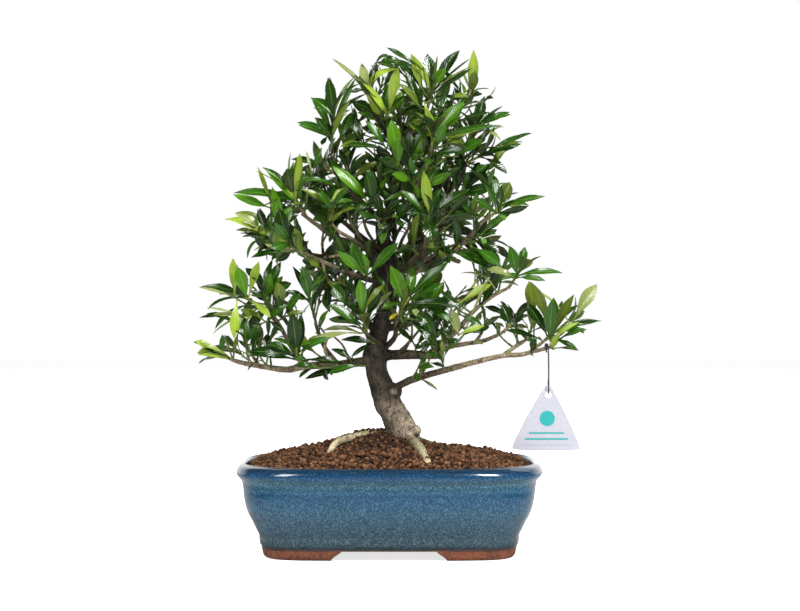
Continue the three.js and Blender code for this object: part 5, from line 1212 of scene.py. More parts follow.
class Crown:
    """Small cells of the crown that leaves or wood already fill, and the crown's outline from the front."""

    def __init__(self):
        self.taken = np.zeros(CELLS, bool)
        self.outline = np.zeros(OUTLINE_CELLS, bool)

    def cells(self, points):
        """The cells that points lie in."""
        return np.floor((points - CORNER) / CELL).astype(int)

    def front_cells(self, points):
        """The outline's cells that points lie in, across and up."""
        return np.floor((points[:, [0, 2]] - CORNER[[0, 2]]) / OUTLINE_CELL).astype(int).T

    def fill(self, points):
        """Marks the cells of points, and their six neighbours, as taken."""
        cells = (self.cells(points)[:, None] + TOUCHING).reshape(-1, 3)
        self.taken[tuple(np.clip(cells, 0, np.array(CELLS) - 1).T)] = True

    def draw(self, points, spread):
        """Adds points to the outline, each as a square of cells a spread wide to each side."""
        across, up = self.front_cells(points)
        last_across, last_up = np.array(OUTLINE_CELLS) - 1
        for i in range(-spread, spread + 1):
            for k in range(-spread, spread + 1):
                self.outline[np.clip(across + i, 0, last_across), np.clip(up + k, 0, last_up)] = True

    def draw_disc(self, x, z, radius, inside):
        """Adds a disc of the front view to the outline, or takes it out."""
        across, up = np.indices(self.outline.shape) * OUTLINE_CELL
        self.outline[np.hypot(across + CORNER[0] - x, up + CORNER[2] - z) < radius] = inside

    def open_share(self, points):
        """The share of points that lie outside the front outline."""
        across, up = self.front_cells(points)
        return 1 - self.outline[across, up].mean()

    def free(self, points):
        """Whether points lie in free cells, inside the part's box and inside the front outline."""
        at = placed(points)
        if (at < BOX_LIMITS[0]).any() or (at > BOX_LIMITS[1]).any() or points[:, 2].min() < LOWEST_LEAF:
            return False
        across, up = self.front_cells(points)
        return self.outline[across, up].all() and not self.taken[tuple(self.cells(points).T)].any()


def leaf_samples(leaf, begin):
    """Points every 1.5 mm or so over a leaf, from a share of its length on."""
    u = np.repeat(np.linspace(begin, 1, 22), 9)
    return leaf_points(leaf, u, np.tile(np.linspace(-1, 1, 9), 22))


def grow_sprig(crown, start, way, length, full, draws):
    """A short stem from a point of the wood, bent upwards, with up to three opposite pairs of leaves."""
    end = start + way * length
    curve = (start, (start + end) / 2 - UP * 0.1 * length, end)
    line = on_curve(curve, np.linspace(0, 1, 24))
    if not crown.free(line[8:]):
        return None
    first_turn = draws.between(0, np.pi)
    leaves = []
    for pair in range(3):
        t = 0.97 - 0.2 * pair
        across = unit(np.cross(REFERENCE, tangent(curve, t)))
        for half in (0, np.pi):
            long = full * draws.between(0.7, 1.1) * (0.8 if pair == 0 else 1)
            numbers = (
                first_turn + half + pair * np.pi / 2 + draws.between(-0.3, 0.3),
                0.45 + 0.33 * pair + draws.between(-0.15, 0.2), long,
                long * LEAF_SLENDER * draws.between(0.8, 1.15), draws.between(0.03, 0.16),
                draws.between(-0.5, 0.5))
            for trial in TRIES[:9]:
                leaf = drawn_leaf(curve, t, across, numbers, trial)
                if crown.free(leaf_samples(leaf, 0.25)):
                    leaves.append(leaf)
                    break
    if len(leaves) < 2:
        return None
    crown.fill(line[6:])
    for leaf in leaves:
        crown.fill(leaf_samples(leaf, 0.12))
    return curve, leaves


def sprig_share(point):
    """How many places carry a sprig: all high up and round the upper trunk, and fewer on low branches."""
    _, _, z = point
    aside = abs(point[0] - TRUNK_X)
    if z > 318 or (aside < 26 and z > 205):
        return 1
    return 0.6 if z > 215 or aside < 75 else 0.28


def wood_lines():
    """Every twig, branch and the upper trunk as (number of the shoot that takes its sprigs, line)."""
    first_on = {shoot[0]: number for number, shoot in reversed(list(enumerate(SHOOTS)))}
    lines = []
    for number, shoot in enumerate(SHOOTS):
        curve, green, _, _ = shoot_curve(shoot)
        lines.append((number, on_curve(curve, np.linspace(0.1, green, 12))))
    for name, number in first_on.items():
        lines.append((number, smooth_path(BRANCHES[name][1], 8)[6:]))
    lines.append((first_on["topLeft"], smooth_path(TRUNK[8:, :3], 8)))
    return lines


def grow_sprigs(crown, draws):
    """Sprigs as (shoot number, curve, leaves), every few millimetres along the wood, where there is room."""
    made = []
    for number, line in wood_lines():
        ways = unit(np.gradient(line, axis=0))
        run = run_along(line)
        for at in np.interp(np.arange(2, run[-1], 4.5), run, np.arange(len(line))).astype(int):
            if draws.between(0, 1) > sprig_share(line[at]):
                continue
            for _ in range(SPRIG_TRIES):
                across = unit(np.cross(REFERENCE, ways[at]))
                across = turned(across, ways[at], draws.between(0, 2 * np.pi))
                rise = draws.between(0.1, 0.6) if line[at][2] > 260 else draws.between(0.7, 1.5)
                out = unit(ways[at] * draws.between(0.2, 0.9) + across + UP * rise)
                length = draws.between(9, 34)
                sprig = grow_sprig(crown, line[at], out, length, draws.between(24, 43), draws)
                if sprig is not None:
                    made.append((number, *sprig))
                    break
    return made


def spray_leaf(crown, foot, row):
    """A chosen leaf, its tip moved in depth by the first step that keeps it clear."""
    tip = np.array(row[:3], float)
    width, bend, tone = row[3:]
    crown.draw(leaf_samples(make_leaf(foot, tip, FACE, width, bend), 0.05), 1)
    for depth in SPRAY_DEPTHS:
        leaf = make_leaf(foot, tip + (0, depth, 0), FACE, width, bend, tone)
        if crown.free(leaf_samples(leaf, 0.3)):
            break
    crown.fill(leaf_samples(leaf, 0.12))
    return leaf


def grow_sprays(crown):
    """The chosen sprays as (shoot number, curve, leaves), each on a stem from the nearest wood."""
    lines = wood_lines()
    made = []
    for bud, rows in SPRAYS:
        end = np.array(bud, float)
        far = [np.linalg.norm(line - end, axis=1) for _, line in lines]
        nearest = int(np.argmin([gaps.min() for gaps in far]))
        number, line = lines[nearest]
        start = line[far[nearest].argmin()]
        span = np.linalg.norm(end - start)
        curve = (start, (start + end) / 2 - UP * 0.12 * span, end)
        step = 1.3 / max(span, 6)
        feet = on_curve(curve, np.clip(1 - step * np.arange(len(rows)), 0.3, 1))
        leaves = [spray_leaf(crown, foot, row) for foot, row in zip(feet, rows)]
        crown.fill(on_curve(curve, np.linspace(0.2, 1, 30)))
        made.append((number, curve, leaves))
    return made


def make_crown(grown):
    """The crown's cells as the shoots' own leaves and all the wood leave them."""
    crown = Crown()
    for leaves in grown:
        for leaf in leaves:
            points = leaf_samples(leaf, 0.05)
            crown.fill(points)
            crown.draw(points, 2)
    tubes = [(TRUNK[:, :3], TRUNK[:, 3])]
    tubes += [(points, taper(radii, len(points))) for radii, points in BRANCHES.values()]
    for shoot in SHOOTS:
        tubes.append((on_curve(shoot_curve(shoot)[0], np.linspace(0, 1, 6)), taper(TWIG_RADII, 6)))
    for points, radii in tubes:
        line = smooth_path(np.column_stack([points, radii]), 16)
        crown.draw(line[:, :3], 3)
        for share in (0.0, 0.35, 0.7, 1.0):
            crown.fill(rings_along(line[:, :3], line[:, 3] * share, 16).reshape(-1, 3))
    for disc in FULL_CROWN:
        crown.draw_disc(*disc, True)
    for disc in OPEN_CROWN:
        crown.draw_disc(*disc, False)
    return crown


def make_room():
    """The wood, stems and wire as rods, in the order of the part's source."""
    room = Room()
    room.add_rod(TRUNK[:, :3], TRUNK[:, 3] * 1.07, "wood")
    for radii, points in BRANCHES.values():
        room.add_rod(points, taper(radii, len(points)), "wood")
    for shoot in SHOOTS:
        curve, green, _, _ = shoot_curve(shoot)
        room.add_rod(on_curve(curve, np.linspace(0, green, 3)), taper(TWIG_RADII, 3), "wood")
    for number, shoot in enumerate(SHOOTS):
        curve, _, begin, _ = shoot_curve(shoot)
        room.add_rod(on_curve(curve, np.linspace(begin, 1, 3)), taper(STEM_RADII, 3), number)
    room.add_rod(WIRE_POINTS, np.full(len(WIRE_POINTS), WIRE_RADIUS), "wire")
    room.freeze()
    return room


def in_crown(crown, leaf):
    """Whether a leaf keeps out of the front view's open gaps, but for the share that may hang in them."""
    limit = CHOSEN_SHARE if leaf["tone"] else OPEN_SHARE
    return crown.open_share(leaf_samples(leaf, 0.1)) < limit


def make_foliage():
    """One piece for each shoot: its leaves, green stem and bud, and the sprigs of its twig or branch."""
    room = make_room()
    draws = Draws(20431)
    grown = [grow_leaves(shoot, number, room, draws) for number, shoot in enumerate(SHOOTS)]
    own = Draws(977)
    crown = make_crown(grown)
    grown = [[leaf for leaf in leaves if in_crown(crown, leaf)] for leaves in grown]
    sprigs = grow_sprays(crown) + grow_sprigs(crown, own)
    for number, shoot in enumerate(SHOOTS):
        skin = Skin()
        tone_leaves(grown[number], own)
        add_leaves(skin, grown[number], own)
        curve, green, _, _ = shoot_curve(shoot)
        tint = YELLOW_TINT if number % 2 else GREEN_TINT
        add_stem(skin, curve, green - 0.02, STEM_RADII, tint)
        for owner, curve, leaves in sprigs:
            if owner == number:
                tone_leaves(leaves, own)
                add_leaves(skin, leaves, own)
                add_stem(skin, curve, 0, SPRIG_STEM, GREEN_TINT)
        name = f"leafy_shoot_{number + 1:02d}"
        piece = skin.piece(f"leaves_{number + 1:02d}", [LEAF, STEM])
        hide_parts(name)


# Trunk, roots, branches and twigs

BARK_TINT = np.array((0.235, 0.188, 0.135, 1))
BRANCH_TINT = np.array((0.175, 0.136, 0.086, 1))
TWIG_TINT = np.array((0.260, 0.210, 0.115, 1))
ROOT_TINT = np.array((0.430, 0.375, 0.225, 1))
PALE_TINT = np.array((0.360, 0.300, 0.220, 1))
MOSS_TINT = np.array((0.110, 0.140, 0.045, 1))
# Pale scars on the trunk: place and radius
PALE_SPOTS = (((4, -14, 158), 5), ((30, -12, 121), 8), ((1, -14, 250), 10))
ROOT_REACH = 10
# Size of the cells that fuse the wood's tubes into one surface
VOXEL = 1.15


def fused(skin, name):
    """The mesh of a skin's overlapping tubes, fused into one surface by a voxel remesh."""
    rough = skin.piece(name, [])
    remesh = rough.modifiers.new("fuse", "REMESH")
    remesh.mode = "VOXEL"
    remesh.voxel_size = VOXEL / 1000
    ready = rough.evaluated_get(bpy.context.evaluated_depsgraph_get())
    mesh = bpy.data.meshes.new_from_object(ready)
    bpy.data.objects.remove(rough)
    mesh.name = name
    return mesh


def near(points, place, radius):
    """1 at a place, falling smoothly to 0 a radius away."""
    share = np.clip(1 - np.linalg.norm(points - place, axis=1) / radius, 0, 1)
    return eased(share)[:, None]


# Bare old twigs in the middle of the crown: radius at both ends, and points
OLD_TWIGS = [
    ((2.6, 1.4), [(-6, -2, 284), (-23, -14, 299), (-37, -18, 310), (-51, -20, 318), (-60, -20, 328)]),
    ((2.2, 1.2), [(-6, -2, 290), (-22, -12, 304), (-31, -16, 314), (-38, -18, 326), (-42, -18, 338)]),
    ((2.0, 1.1), [(-5, -4, 294), (-16, -14, 308), (-23, -18, 320), (-27, -20, 334)]),
    ((2.4, 1.3), [(-8, -4, 282), (-26, -12, 290), (-44, -16, 294), (-60, -18, 292)]),
    ((2.8, 1.4), [(6, -4, 276), (22, -14, 290), (34, -18, 303), (47, -20, 312), (55, -20, 322)]),
    ((2.4, 1.3), [(4, -4, 272), (24, -14, 282), (40, -18, 292), (55, -20, 300), (66, -20, 305)]),
    ((2.8, 1.6), [(8, -4, 282), (20, -12, 296), (25, -14, 312), (24, -14, 328), (27, -14, 342)]),
    ((1.9, 1.1), [(6, -2, 290), (12, -12, 308), (20, -16, 322), (28, -18, 334)]),
    ((2.0, 1.2), [(10, -4, 270), (24, -12, 276), (40, -16, 282), (54, -18, 284)]),
    ((1.7, 1.0), [(0, -12, 204), (6, -18, 214), (8, -20, 226), (6, -22, 236)]),
    ((1.8, 1.0), [(8, -8, 196), (20, -16, 208), (30, -20, 220), (40, -22, 228)]),
    ((1.6, 0.9), [(14, -8, 196), (22, -14, 214), (22, -18, 228)]),
    ((2.2, 1.3), [(-6, -6, 204), (-18, -18, 212), (-27, -24, 222)]),
    ((1.5, 0.9), [(-58, -20, 186), (-64, -22, 200), (-62, -24, 212), (-68, -24, 222)]),
    ((1.5, 0.9), [(-40, -16, 188), (-46, -20, 204), (-56, -22, 214)]),
]


def inner_crown_shade(points):
    """How much painted shade darkens the wood inside the crown: a factor of 0.17 on the trunk and near it
    from just under the crown up, rising to 1 on the lower trunk and 80 mm out along the branches."""
    x, y, z = points.T
    low = np.clip((162 - z) / 26, 0, 1)
    out = np.clip((np.hypot(x - TRUNK_X, y) - 14) / 66, 0, 1)
    return (0.17 + 0.83 * np.maximum(eased(low), out))[:, None]


def bark_mesh():
    """Trunk, scars, roots and branches as overlapping tubes, fused."""
    skin = Skin()
    trunk = smooth_path(TRUNK, 5)
    skin.add_tube(rings_along(trunk[:, :3], trunk[:, 3], 24), BARK_TINT)
    rise = np.linspace(-1, 1, 9)
    for x, y, z, radius in KNOBS:
        path = np.array((x, y, z)) + rise[:, None] * (0, 0, radius)
        skin.add_tube(rings_along(path, radius * np.sqrt(1.02 - rise ** 2), 14), BARK_TINT)
    for radii, points in [*ROOTS, *BRANCHES.values()]:
        path = smooth_path(points, 6)
        skin.add_tube(rings_along(path, taper(radii, len(path)), 12), BARK_TINT)
    return fused(skin, "trunk")


def trunk_share(at):
    """1 on the trunk, falling to 0 on what lies 5 mm outside it."""
    line = smooth_path(TRUNK, 3)
    apart = np.linalg.norm(at[:, None, :] - line[None, :, :3], axis=2) - line[None, :, 3]
    return np.clip(1 - apart.min(axis=1) / 5, 0, 1)


def bark_relief(at, on_trunk):
    """Height of the bark: noise stretched into long ridges, and lumps, both lower on roots and branches."""
    ridges = soft_noise(at * (1, 1, 0.28), 3.6, 3) + 0.5 * soft_noise(at * (1, 1, 0.5), 1.9, 5)
    lumps = soft_noise(at, 13, 7) + 0.5 * soft_noise(at, 6.5, 9)
    return on_trunk * (0.55 * ridges + 1.0 * lumps) + (1 - on_trunk) * (0.22 * ridges + 0.3 * lumps)


def bark_tints(at, normals, on_trunk):
    """Colours of the bark: cloudy, mossy on top, with painted shade inside the crown and on the side facing
    left, and pale scars and roots.
    """
    tint = BRANCH_TINT + (BARK_TINT - BRANCH_TINT) * on_trunk[:, None]
    cloud = soft_noise(at, 21, 11)[:, None] + soft_noise(at, 8, 17)[:, None]
    tint = tint * np.clip(1 + 0.35 * cloud, 0.3, 1.8)
    moss = np.clip(normals[:, 2:] * 1.2 + soft_noise(at, 9, 13)[:, None] * 1.1 - 0.75, 0, 1)
    tint = tint + (MOSS_TINT - tint) * moss * 0.8
    # Painted shade: darker inside the crown near the trunk, and on the side facing left.
    tint = tint * inner_crown_shade(at) * (1 - 0.7 * np.clip(-normals[:, :1] - 0.1, 0, 1))
    for place, radius in PALE_SPOTS:
        tint = tint + (PALE_TINT - tint) * near(at, place, radius) * 0.7
    for _, points in ROOTS[:2]:
        for place in smooth_path(points, 3)[4:]:
            tint = tint + (ROOT_TINT - tint) * near(at, place, ROOT_REACH) * 0.7
    tint[:, 3] = 1
    return tint


def make_trunk():
    """Trunk, roots and branches as one bark surface, with its relief along the normals."""
    mesh = bark_mesh()
    co = np.empty(3 * len(mesh.vertices))
    mesh.vertices.foreach_get("co", co)
    normals = np.empty(3 * len(mesh.vertices))
    mesh.vertex_normals.foreach_get("vector", normals)
    normals = normals.reshape(-1, 3)
    at = (co.reshape(-1, 3) - SHIFT) * 1000
    on_trunk = trunk_share(at)
    raised = at + normals * bark_relief(at, on_trunk)[:, None]
    mesh.vertices.foreach_set("co", placed(raised).ravel())
    tint = mesh.color_attributes.new("tint", "FLOAT_COLOR", "POINT")
    tint.data.foreach_set("color", bark_tints(at, normals, on_trunk).ravel())
    mesh.polygons.foreach_set("use_smooth", np.full(len(mesh.polygons), True))
    mesh.materials.clear()
    mesh.materials.append(BARK)
    piece = stood("trunk_roots_and_branches", mesh)
    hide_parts("trunk_and_branches")


def make_twigs():
    """A brown twig with swollen rings under each green stem, and the bare old twigs round the trunk."""
    skin = Skin()
    for radii, points in OLD_TWIGS:
        path = smooth_path(points, 6)
        thick = taper(radii, len(path)) * (1 + 0.15 * soft_noise(path, 4, 21))
        # Painted shade inside the crown darkens the old twigs near the trunk.
        skin.add_tube(rings_along(path, thick, 8), TWIG_TINT * inner_crown_shade(path))
    for shoot in SHOOTS:
        curve, green, _, _ = shoot_curve(shoot)
        span = np.linalg.norm(curve[2] - curve[0])
        t = np.linspace(0, green, max(6, int(span * green / 1.6)))
        rings = 1 + 0.2 * np.cos(t * span * 2 * np.pi / 8.5) ** 8
        path = on_curve(curve, t)
        # Twigs darker towards their foot, with painted shade inside the crown near the trunk.
        tints = TWIG_TINT * (0.75 + 0.5 * t[:, None]) * inner_crown_shade(path)
        skin.add_tube(rings_along(path, taper(TWIG_RADII, len(t)) * rings, 8), tints)
    piece = skin.piece("twigs", [BARK])
    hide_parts("trunk_and_branches")


# Soil

# Half length and half width of the soil, and the power of its plan
SOIL_REACH = (140.2, 101.4)
SOIL_POWER = 3.56
# Granules: distance between them, smallest and largest radius, and the share of each layer's places
GRAIN_STEP = 3.9
GRAIN_RADII = (1.5, 3.0)
LAYER_SHARES = (1.0, 0.35)
# Where the granules are fine and dark: place, strength and reach
DARK_SOIL = (((8, -6), 1, 20), ((-50, -30), 0.5, 14), ((-28, -8), 0.5, 24))
GRAIN_COLOUR = (0.091, 0.045, 0.021)
GRAIN_RED = (0.022, 0.005, 0.001)


def soil_height(x, y):
    """The soil's surface: 84 + 15.5 (1 - reach^4) + 19.5 exp(-((x+14)^2 + y^2) / 2048) + ripples that fade at
    the wall, where reach is (|x/140.2|^p + |y/101.4|^p)^(1/p) and p is 3.56."""
    along, across = np.abs(x / SOIL_REACH[0]), np.abs(y / SOIL_REACH[1])
    reach = (along ** SOIL_POWER + across ** SOIL_POWER) ** (1 / SOIL_POWER)
    ripple = np.sin(0.21 * x + 0.7) * np.cos(0.19 * y) + 0.6 * np.sin(0.33 * y + 0.27 * x)
    mound = 19.5 * np.exp(-((x + 14) ** 2 + y ** 2) / 2048)
    return 84 + 15.5 * (1 - reach ** 4) + mound + 1.5 * ripple * (1 - reach ** 6), reach


def grain_ball():
    """Points and outward triangles of an icosahedron of radius 1."""
    g = (1 + 5 ** 0.5) / 2
    points = [(s, t * g, 0) for s in (-1, 1) for t in (-1, 1)]
    points = np.array([np.roll(p, k) for k in range(3) for p in points], float)
    points = points / np.linalg.norm(points[0])
    apart = np.linalg.norm(points[:, None] - points[None], axis=2) < 1.1
    sides = [(i, j, k) for i in range(12) for j in range(i + 1, 12) for k in range(j + 1, 12)
             if apart[i, j] and apart[j, k] and apart[i, k]]
    faces = np.array(sides)
    a, b, c = points[faces].transpose(1, 0, 2)
    inward = np.einsum("ij,ij->i", np.cross(b - a, c - a), a) < 0
    faces[inward] = faces[inward][:, ::-1]
    return points, faces


def random_turns(random, count):
    """Rotation matrices from random unit quaternions."""
    w, x, y, z = unit(random.normal(size=(count, 4))).T
    return np.stack([
        1 - 2 * (y * y + z * z), 2 * (x * y - w * z), 2 * (x * z + w * y),
        2 * (x * y + w * z), 1 - 2 * (x * x + z * z), 2 * (y * z - w * x),
        2 * (x * z - w * y), 2 * (y * z + w * x), 1 - 2 * (x * x + y * y)], -1).reshape(-1, 3, 3)


def grain_places(random):
    """Places on a jittered grid over the packed soil, in a full layer and a sparse one on top."""
    layers = []
    for layer, share in enumerate(LAYER_SHARES):
        x, y = np.meshgrid(np.arange(-138, 139, GRAIN_STEP), np.arange(-99, 100, GRAIN_STEP))
        at = np.stack([x.ravel(), y.ravel()], -1) + random.uniform(-2.2, 2.2, (x.size, 2)) + layer * 2.5
        height, reach = soil_height(*at.T)
        at = np.column_stack([at, height + layer * 1.6 - 0.4 + random.uniform(-0.8, 0.8, len(at))])
        layers.append(at[(reach < 0.98) & (random.uniform(0, 1, len(at)) < share)])
    return np.concatenate(layers)


def make_soil():
    """Granules over the packed soil, each a dented icosahedron of its own size, turn and brightness."""
    random = np.random.default_rng(71)
    centres = grain_places(random)
    ball, faces = grain_ball()
    corners = len(ball)
    count = len(centres)
    size = random.uniform(*GRAIN_RADII, (count, 1, 1)) * random.uniform(0.8, 1.2, (count, 1, 3))
    close = sum(strength * np.exp(-np.linalg.norm(centres[:, :2] - place, axis=1) / reach)
                for place, strength, reach in DARK_SOIL)
    close = np.minimum(close, 1.1)[:, None]
    size *= (1 - 0.5 * close)[:, None]
    dented = ball[None] * size * random.uniform(0.86, 1.12, (count, corners, 1))
    points = centres[:, None] + np.einsum("nij,nkj->nki", random_turns(random, count), dented)
    faces = (np.arange(count)[:, None, None] * corners + faces[None]).reshape(-1, 3)
    light = (0.3 + 1.7 * random.uniform(0, 1, (count, 1)) ** 1.5) * (1 - 0.7 * close)
    colours = light * (GRAIN_COLOUR + random.uniform(0, 1, (count, 1)) * GRAIN_RED)
    tints = np.repeat(np.column_stack([colours, np.ones(count)]), corners, axis=0)
    skin = Skin()
    skin.add(points, [faces], tints)
    piece = skin.piece("soil_granules", [SOIL])


# Pot

# Half length and height of the wall: clay edge, glazed belly, neck, lip, then down inside to the floor
WALL = [
    (125, 9.4), (125.2, 12), (126.6, 13.2), (127.3, 17.5), (127.8, 21.7), (130.5, 27), (133.9, 34),
    (137.5, 40.4), (140.6, 48), (142.8, 57), (144.1, 66), (145.4, 72.5), (147.6, 75.5), (150.4, 78.8),
    (151.1, 82.6), (149.6, 86.4), (146, 88.6), (142, 86.6), (135.5, 58), (124, 30), (118, 18)]
# Under side and top of the floor
FLOOR = (9.4, 18)
# Points round the wall and round a drain hole
ROUND = 224
DRAIN_ROUND = 32
DRAIN_PLACE = 62
DRAIN_RADIUS = 9


def plan(half_length, height, angle):
    """x = a |cos|^(2/p), y = b |sin|^(2/p), with the signs of cos and sin. Going up, p falls from 6.5 to 3.4
    and a - b grows from 35 to 39."""
    c, s = np.cos(angle), np.sin(angle)
    rise = np.asarray(height, float) / RIM_HEIGHT
    power = 2 / (6.5 - 3.1 * rise)
    half_length = np.asarray(half_length, float)
    return (half_length * np.sign(c) * np.abs(c) ** power,
            (half_length - 35 - 4 * rise) * np.sign(s) * np.abs(s) ** power)


def even_angles(count):
    """Angles whose points lie at even distances round the plan at half height."""
    fine = np.linspace(0, 2 * np.pi, 7201)
    run = run_along(np.stack(plan(140, 44, fine), -1))
    return np.interp(np.arange(count) / count * run[-1], run, fine)


def filled(loops):
    """Triangles that fill the first loop of plan points and leave the others open: a triangle whose corners
    all lie on one later loop is inside that opening and is dropped."""
    points = np.concatenate(loops)
    edges, start = [], 0
    for loop in loops:
        edges += [(start + k, start + (k + 1) % len(loop)) for k in range(len(loop))]
        start += len(loop)
    made = delaunay_2d_cdt([Vector(p) for p in points], edges, [], 1, 1e-7)
    order = np.array([source[0] for source in made[3]])
    loop_of = np.repeat(np.arange(len(loops)), [len(loop) for loop in loops])
    faces = order[np.array(made[2])]
    inside = loop_of[faces]
    return faces[(inside == 0).any(axis=1) | (np.ptp(inside, axis=1) > 0)]


def make_pot():
    """The glazed wall as rings of the plan at each point of its section, and a floor with two drain holes."""
    section = smooth_path(WALL, 5)
    x, y = plan(section[:, :1], section[:, 1:], even_angles(ROUND)[None])
    wall = np.stack([x, y, np.broadcast_to(section[:, 1:], x.shape)], -1)
    rows = len(section)
    holes = [(side * DRAIN_PLACE, 0) + DRAIN_RADIUS * circle(DRAIN_ROUND) for side in (-1, 1)]
    rims = [np.column_stack([hole, np.full(len(hole), height)]) for hole in holes for height in FLOOR]
    points = np.concatenate([wall.reshape(-1, 3), *rims])
    base = rows * ROUND
    ring = base + np.arange(DRAIN_ROUND)
    under_ids = np.concatenate([np.arange(ROUND), ring, ring + 2 * DRAIN_ROUND])
    upper_ids = np.concatenate([base - ROUND + np.arange(ROUND), ring + DRAIN_ROUND, ring + 3 * DRAIN_ROUND])
    under = under_ids[filled([wall[0, :, :2], *holes])][:, ::-1]
    upper = upper_ids[filled([wall[-1, :, :2], *holes])]
    bore = quads_of(2, DRAIN_ROUND)[:, [1, 0, 3, 2]]
    skin = Skin()
    skin.add(points, [quads_of(rows, ROUND), under, upper, base + bore, base + 2 * DRAIN_ROUND + bore],
             np.ones(4))
    piece = skin.piece("glazed_pot", [GLAZE])
    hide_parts("pot")
    make_feet()


# Ends of a foot along the pot's long side and its short side, each at the table and at the pot
FOOT_ENDS = ((55.5, 44.5), (38, 30.5))
FOOT_BAND = 22
FOOT_HEIGHT = 11.2
FEET = (("front_left", -1, -1), ("front_right", 1, -1), ("back_left", -1, 1), ("back_right", 1, 1))


def make_feet():
    """Four corner feet: a band inside the pot's edge from one gap to the next, its lower edge rounded by
    4 mm, and its ends drawn in by an S curve from bottom to top."""
    rise = np.linspace(0, 1, 12)
    z = FOOT_HEIGHT * rise
    curl = eased(rise)
    rounding = 4 - np.sqrt(16 - np.clip(4 - z, 0, 4) ** 2)
    outer = 122.9 + 2.2 * rise - rounding
    inner = 122.8 - FOOT_BAND + 0.5 * rounding
    half = np.concatenate([outer[::-1], inner])
    height = np.concatenate([z[::-1], z])
    curl = np.concatenate([curl[::-1], curl])
    long_end, short_end = (low + (high - low) * curl for low, high in FOOT_ENDS)
    power = 6.5 - 3.1 * height / RIM_HEIGHT
    start = np.arccos((long_end / half) ** (power / 2))
    stop = np.arcsin((short_end / (half - 35 - 4 * height / RIM_HEIGHT)) ** (power / 2))
    share = np.linspace(0, 1, 72)[:, None]
    x, y = plan(half[None], height[None], start + (stop - start) * share)
    grid = np.stack([x, y, np.broadcast_to(height, x.shape)], -1)
    count = len(half)
    k = np.arange(count // 2 - 1)
    cap = np.stack([k, k + 1, count - 2 - k, count - 1 - k], -1)
    faces = [quads_of(len(grid), count)[:, ::-1], cap, (cap + (len(grid) - 1) * count)[:, ::-1]]
    for place, side_x, side_y in FEET:
        flipped = side_x * side_y < 0
        skin = Skin()
        skin.add(grid * (side_x, side_y, 1), [f[:, ::-1] if flipped else f for f in faces], np.ones(4))
        piece = skin.piece(f"foot_{place}", [CLAY])
        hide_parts(f"clay_foot_{place}")


# Tag and its wire

TAG_THICK = 1.2
TAG_OUTLINE = [(118, 107), (121.5, 102.6), (183.5, 102.4), (187, 106.4), (157.8, 166.6), (151.4, 166.6)]
TAG_HOLE = (155, 157)
TAG_HOLE_RADIUS = 3.4
# Marks on the tag: the round one, then bars as low edge, half length, height and material
TAG_ROUND = (153.8, 134)
TAG_ROUND_RADIUS = 7.5
TAG_MIDDLE = 153
TAG_BARS = ((119, 17, 1.7, 1), (113.2, 21, 1.7, 1), (108, 24, 0.6, 2))


def rounded(outline):
    """Corner cutting, four times over: each side gives the points at a quarter and three quarters of it."""
    points = np.array(outline, float)
    for _ in range(4):
        after = np.roll(points, -1, axis=0)
        points = np.stack([points * 0.75 + after * 0.25, points * 0.25 + after * 0.75], 1).reshape(-1, 2)
    return points


def add_plate(skin, loops, front, back, slot):
    """A flat plate between two depths, outlined by the first loop, with the other loops as openings."""
    count = sum(map(len, loops))
    flat = np.concatenate(loops)
    points = np.concatenate([
        np.column_stack([flat[:, 0], np.full(count, y), flat[:, 1]]) for y in (front, back)])
    faces = filled(loops)
    walls, start = [], 0
    for number, loop in enumerate(loops):
        k = start + np.arange(len(loop))
        after = start + (np.arange(len(loop)) + 1) % len(loop)
        wall = np.stack([k, k + count, after + count, after], -1)
        walls.append(wall[:, ::-1] if number else wall)
        start += len(loop)
    rims = np.repeat((1, 2), count)
    skin.add(points, [faces, faces[:, ::-1] + count, *walls], np.ones(4), rims=rims, slot=slot)


def bar(low, half, height):
    """A rectangle in the tag's plane, as a loop of points."""
    left, right = TAG_MIDDLE - half, TAG_MIDDLE + half
    return np.array([(left, low), (right, low), (right, low + height), (left, low + height)])


def make_tag():
    """A rounded plastic plate with a hole, and on each face a plain round mark over ruled lines."""
    skin = Skin()
    ring = circle(28)
    faces = TAG_Y - TAG_THICK / 2, TAG_Y + TAG_THICK / 2
    add_plate(skin, [rounded(TAG_OUTLINE), TAG_HOLE + TAG_HOLE_RADIUS * ring], *faces, 0)
    for front, back in ((faces[0] - 0.1, TAG_Y - 0.2), (TAG_Y + 0.2, faces[1] + 0.1)):
        add_plate(skin, [TAG_ROUND + TAG_ROUND_RADIUS * ring], front, back, 1)
        for low, half, height, slot in TAG_BARS:
            add_plate(skin, [bar(low, half, height)], front, back, slot)
    piece = skin.piece("plant_tag", [TAG, TAG_MARK, TAG_RULE])
    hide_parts("tag")


# The wire's strands: radius, distance from the wire's line, length of one twist, and step along the line
STRAND_RADIUS = 0.4
STRAND_OUT = 0.42
TWIST = 5
STRAND_STEP = 0.6


def make_wire():
    """Two thin strands twisted round the wire's line, once in every 5 mm."""
    line = smooth_path(WIRE_POINTS, 12)
    run = run_along(line)
    path = np.stack([np.interp(np.arange(0, run[-1], STRAND_STEP), run, line[:, k]) for k in range(3)], -1)
    rings = rings_along(path, STRAND_OUT, 360)
    at = np.arange(len(path))
    skin = Skin()
    for strand in (0, 180):
        turns = (at * STRAND_STEP / TWIST * 360 + strand).astype(int) % 360
        skin.add_tube(rings_along(rings[at, turns], STRAND_RADIUS, 8), np.ones(4))
    piece = skin.piece("tag_tie_wire", [WIRE])
    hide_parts("tag_wire")


# Floor, light and camera

# How much the floor glows to the camera, and how much the room lights things and shines in them
FLOOR_GLOW = 0.74
ROOM_LIGHT = 0.24
ROOM_SHINE = 0.05
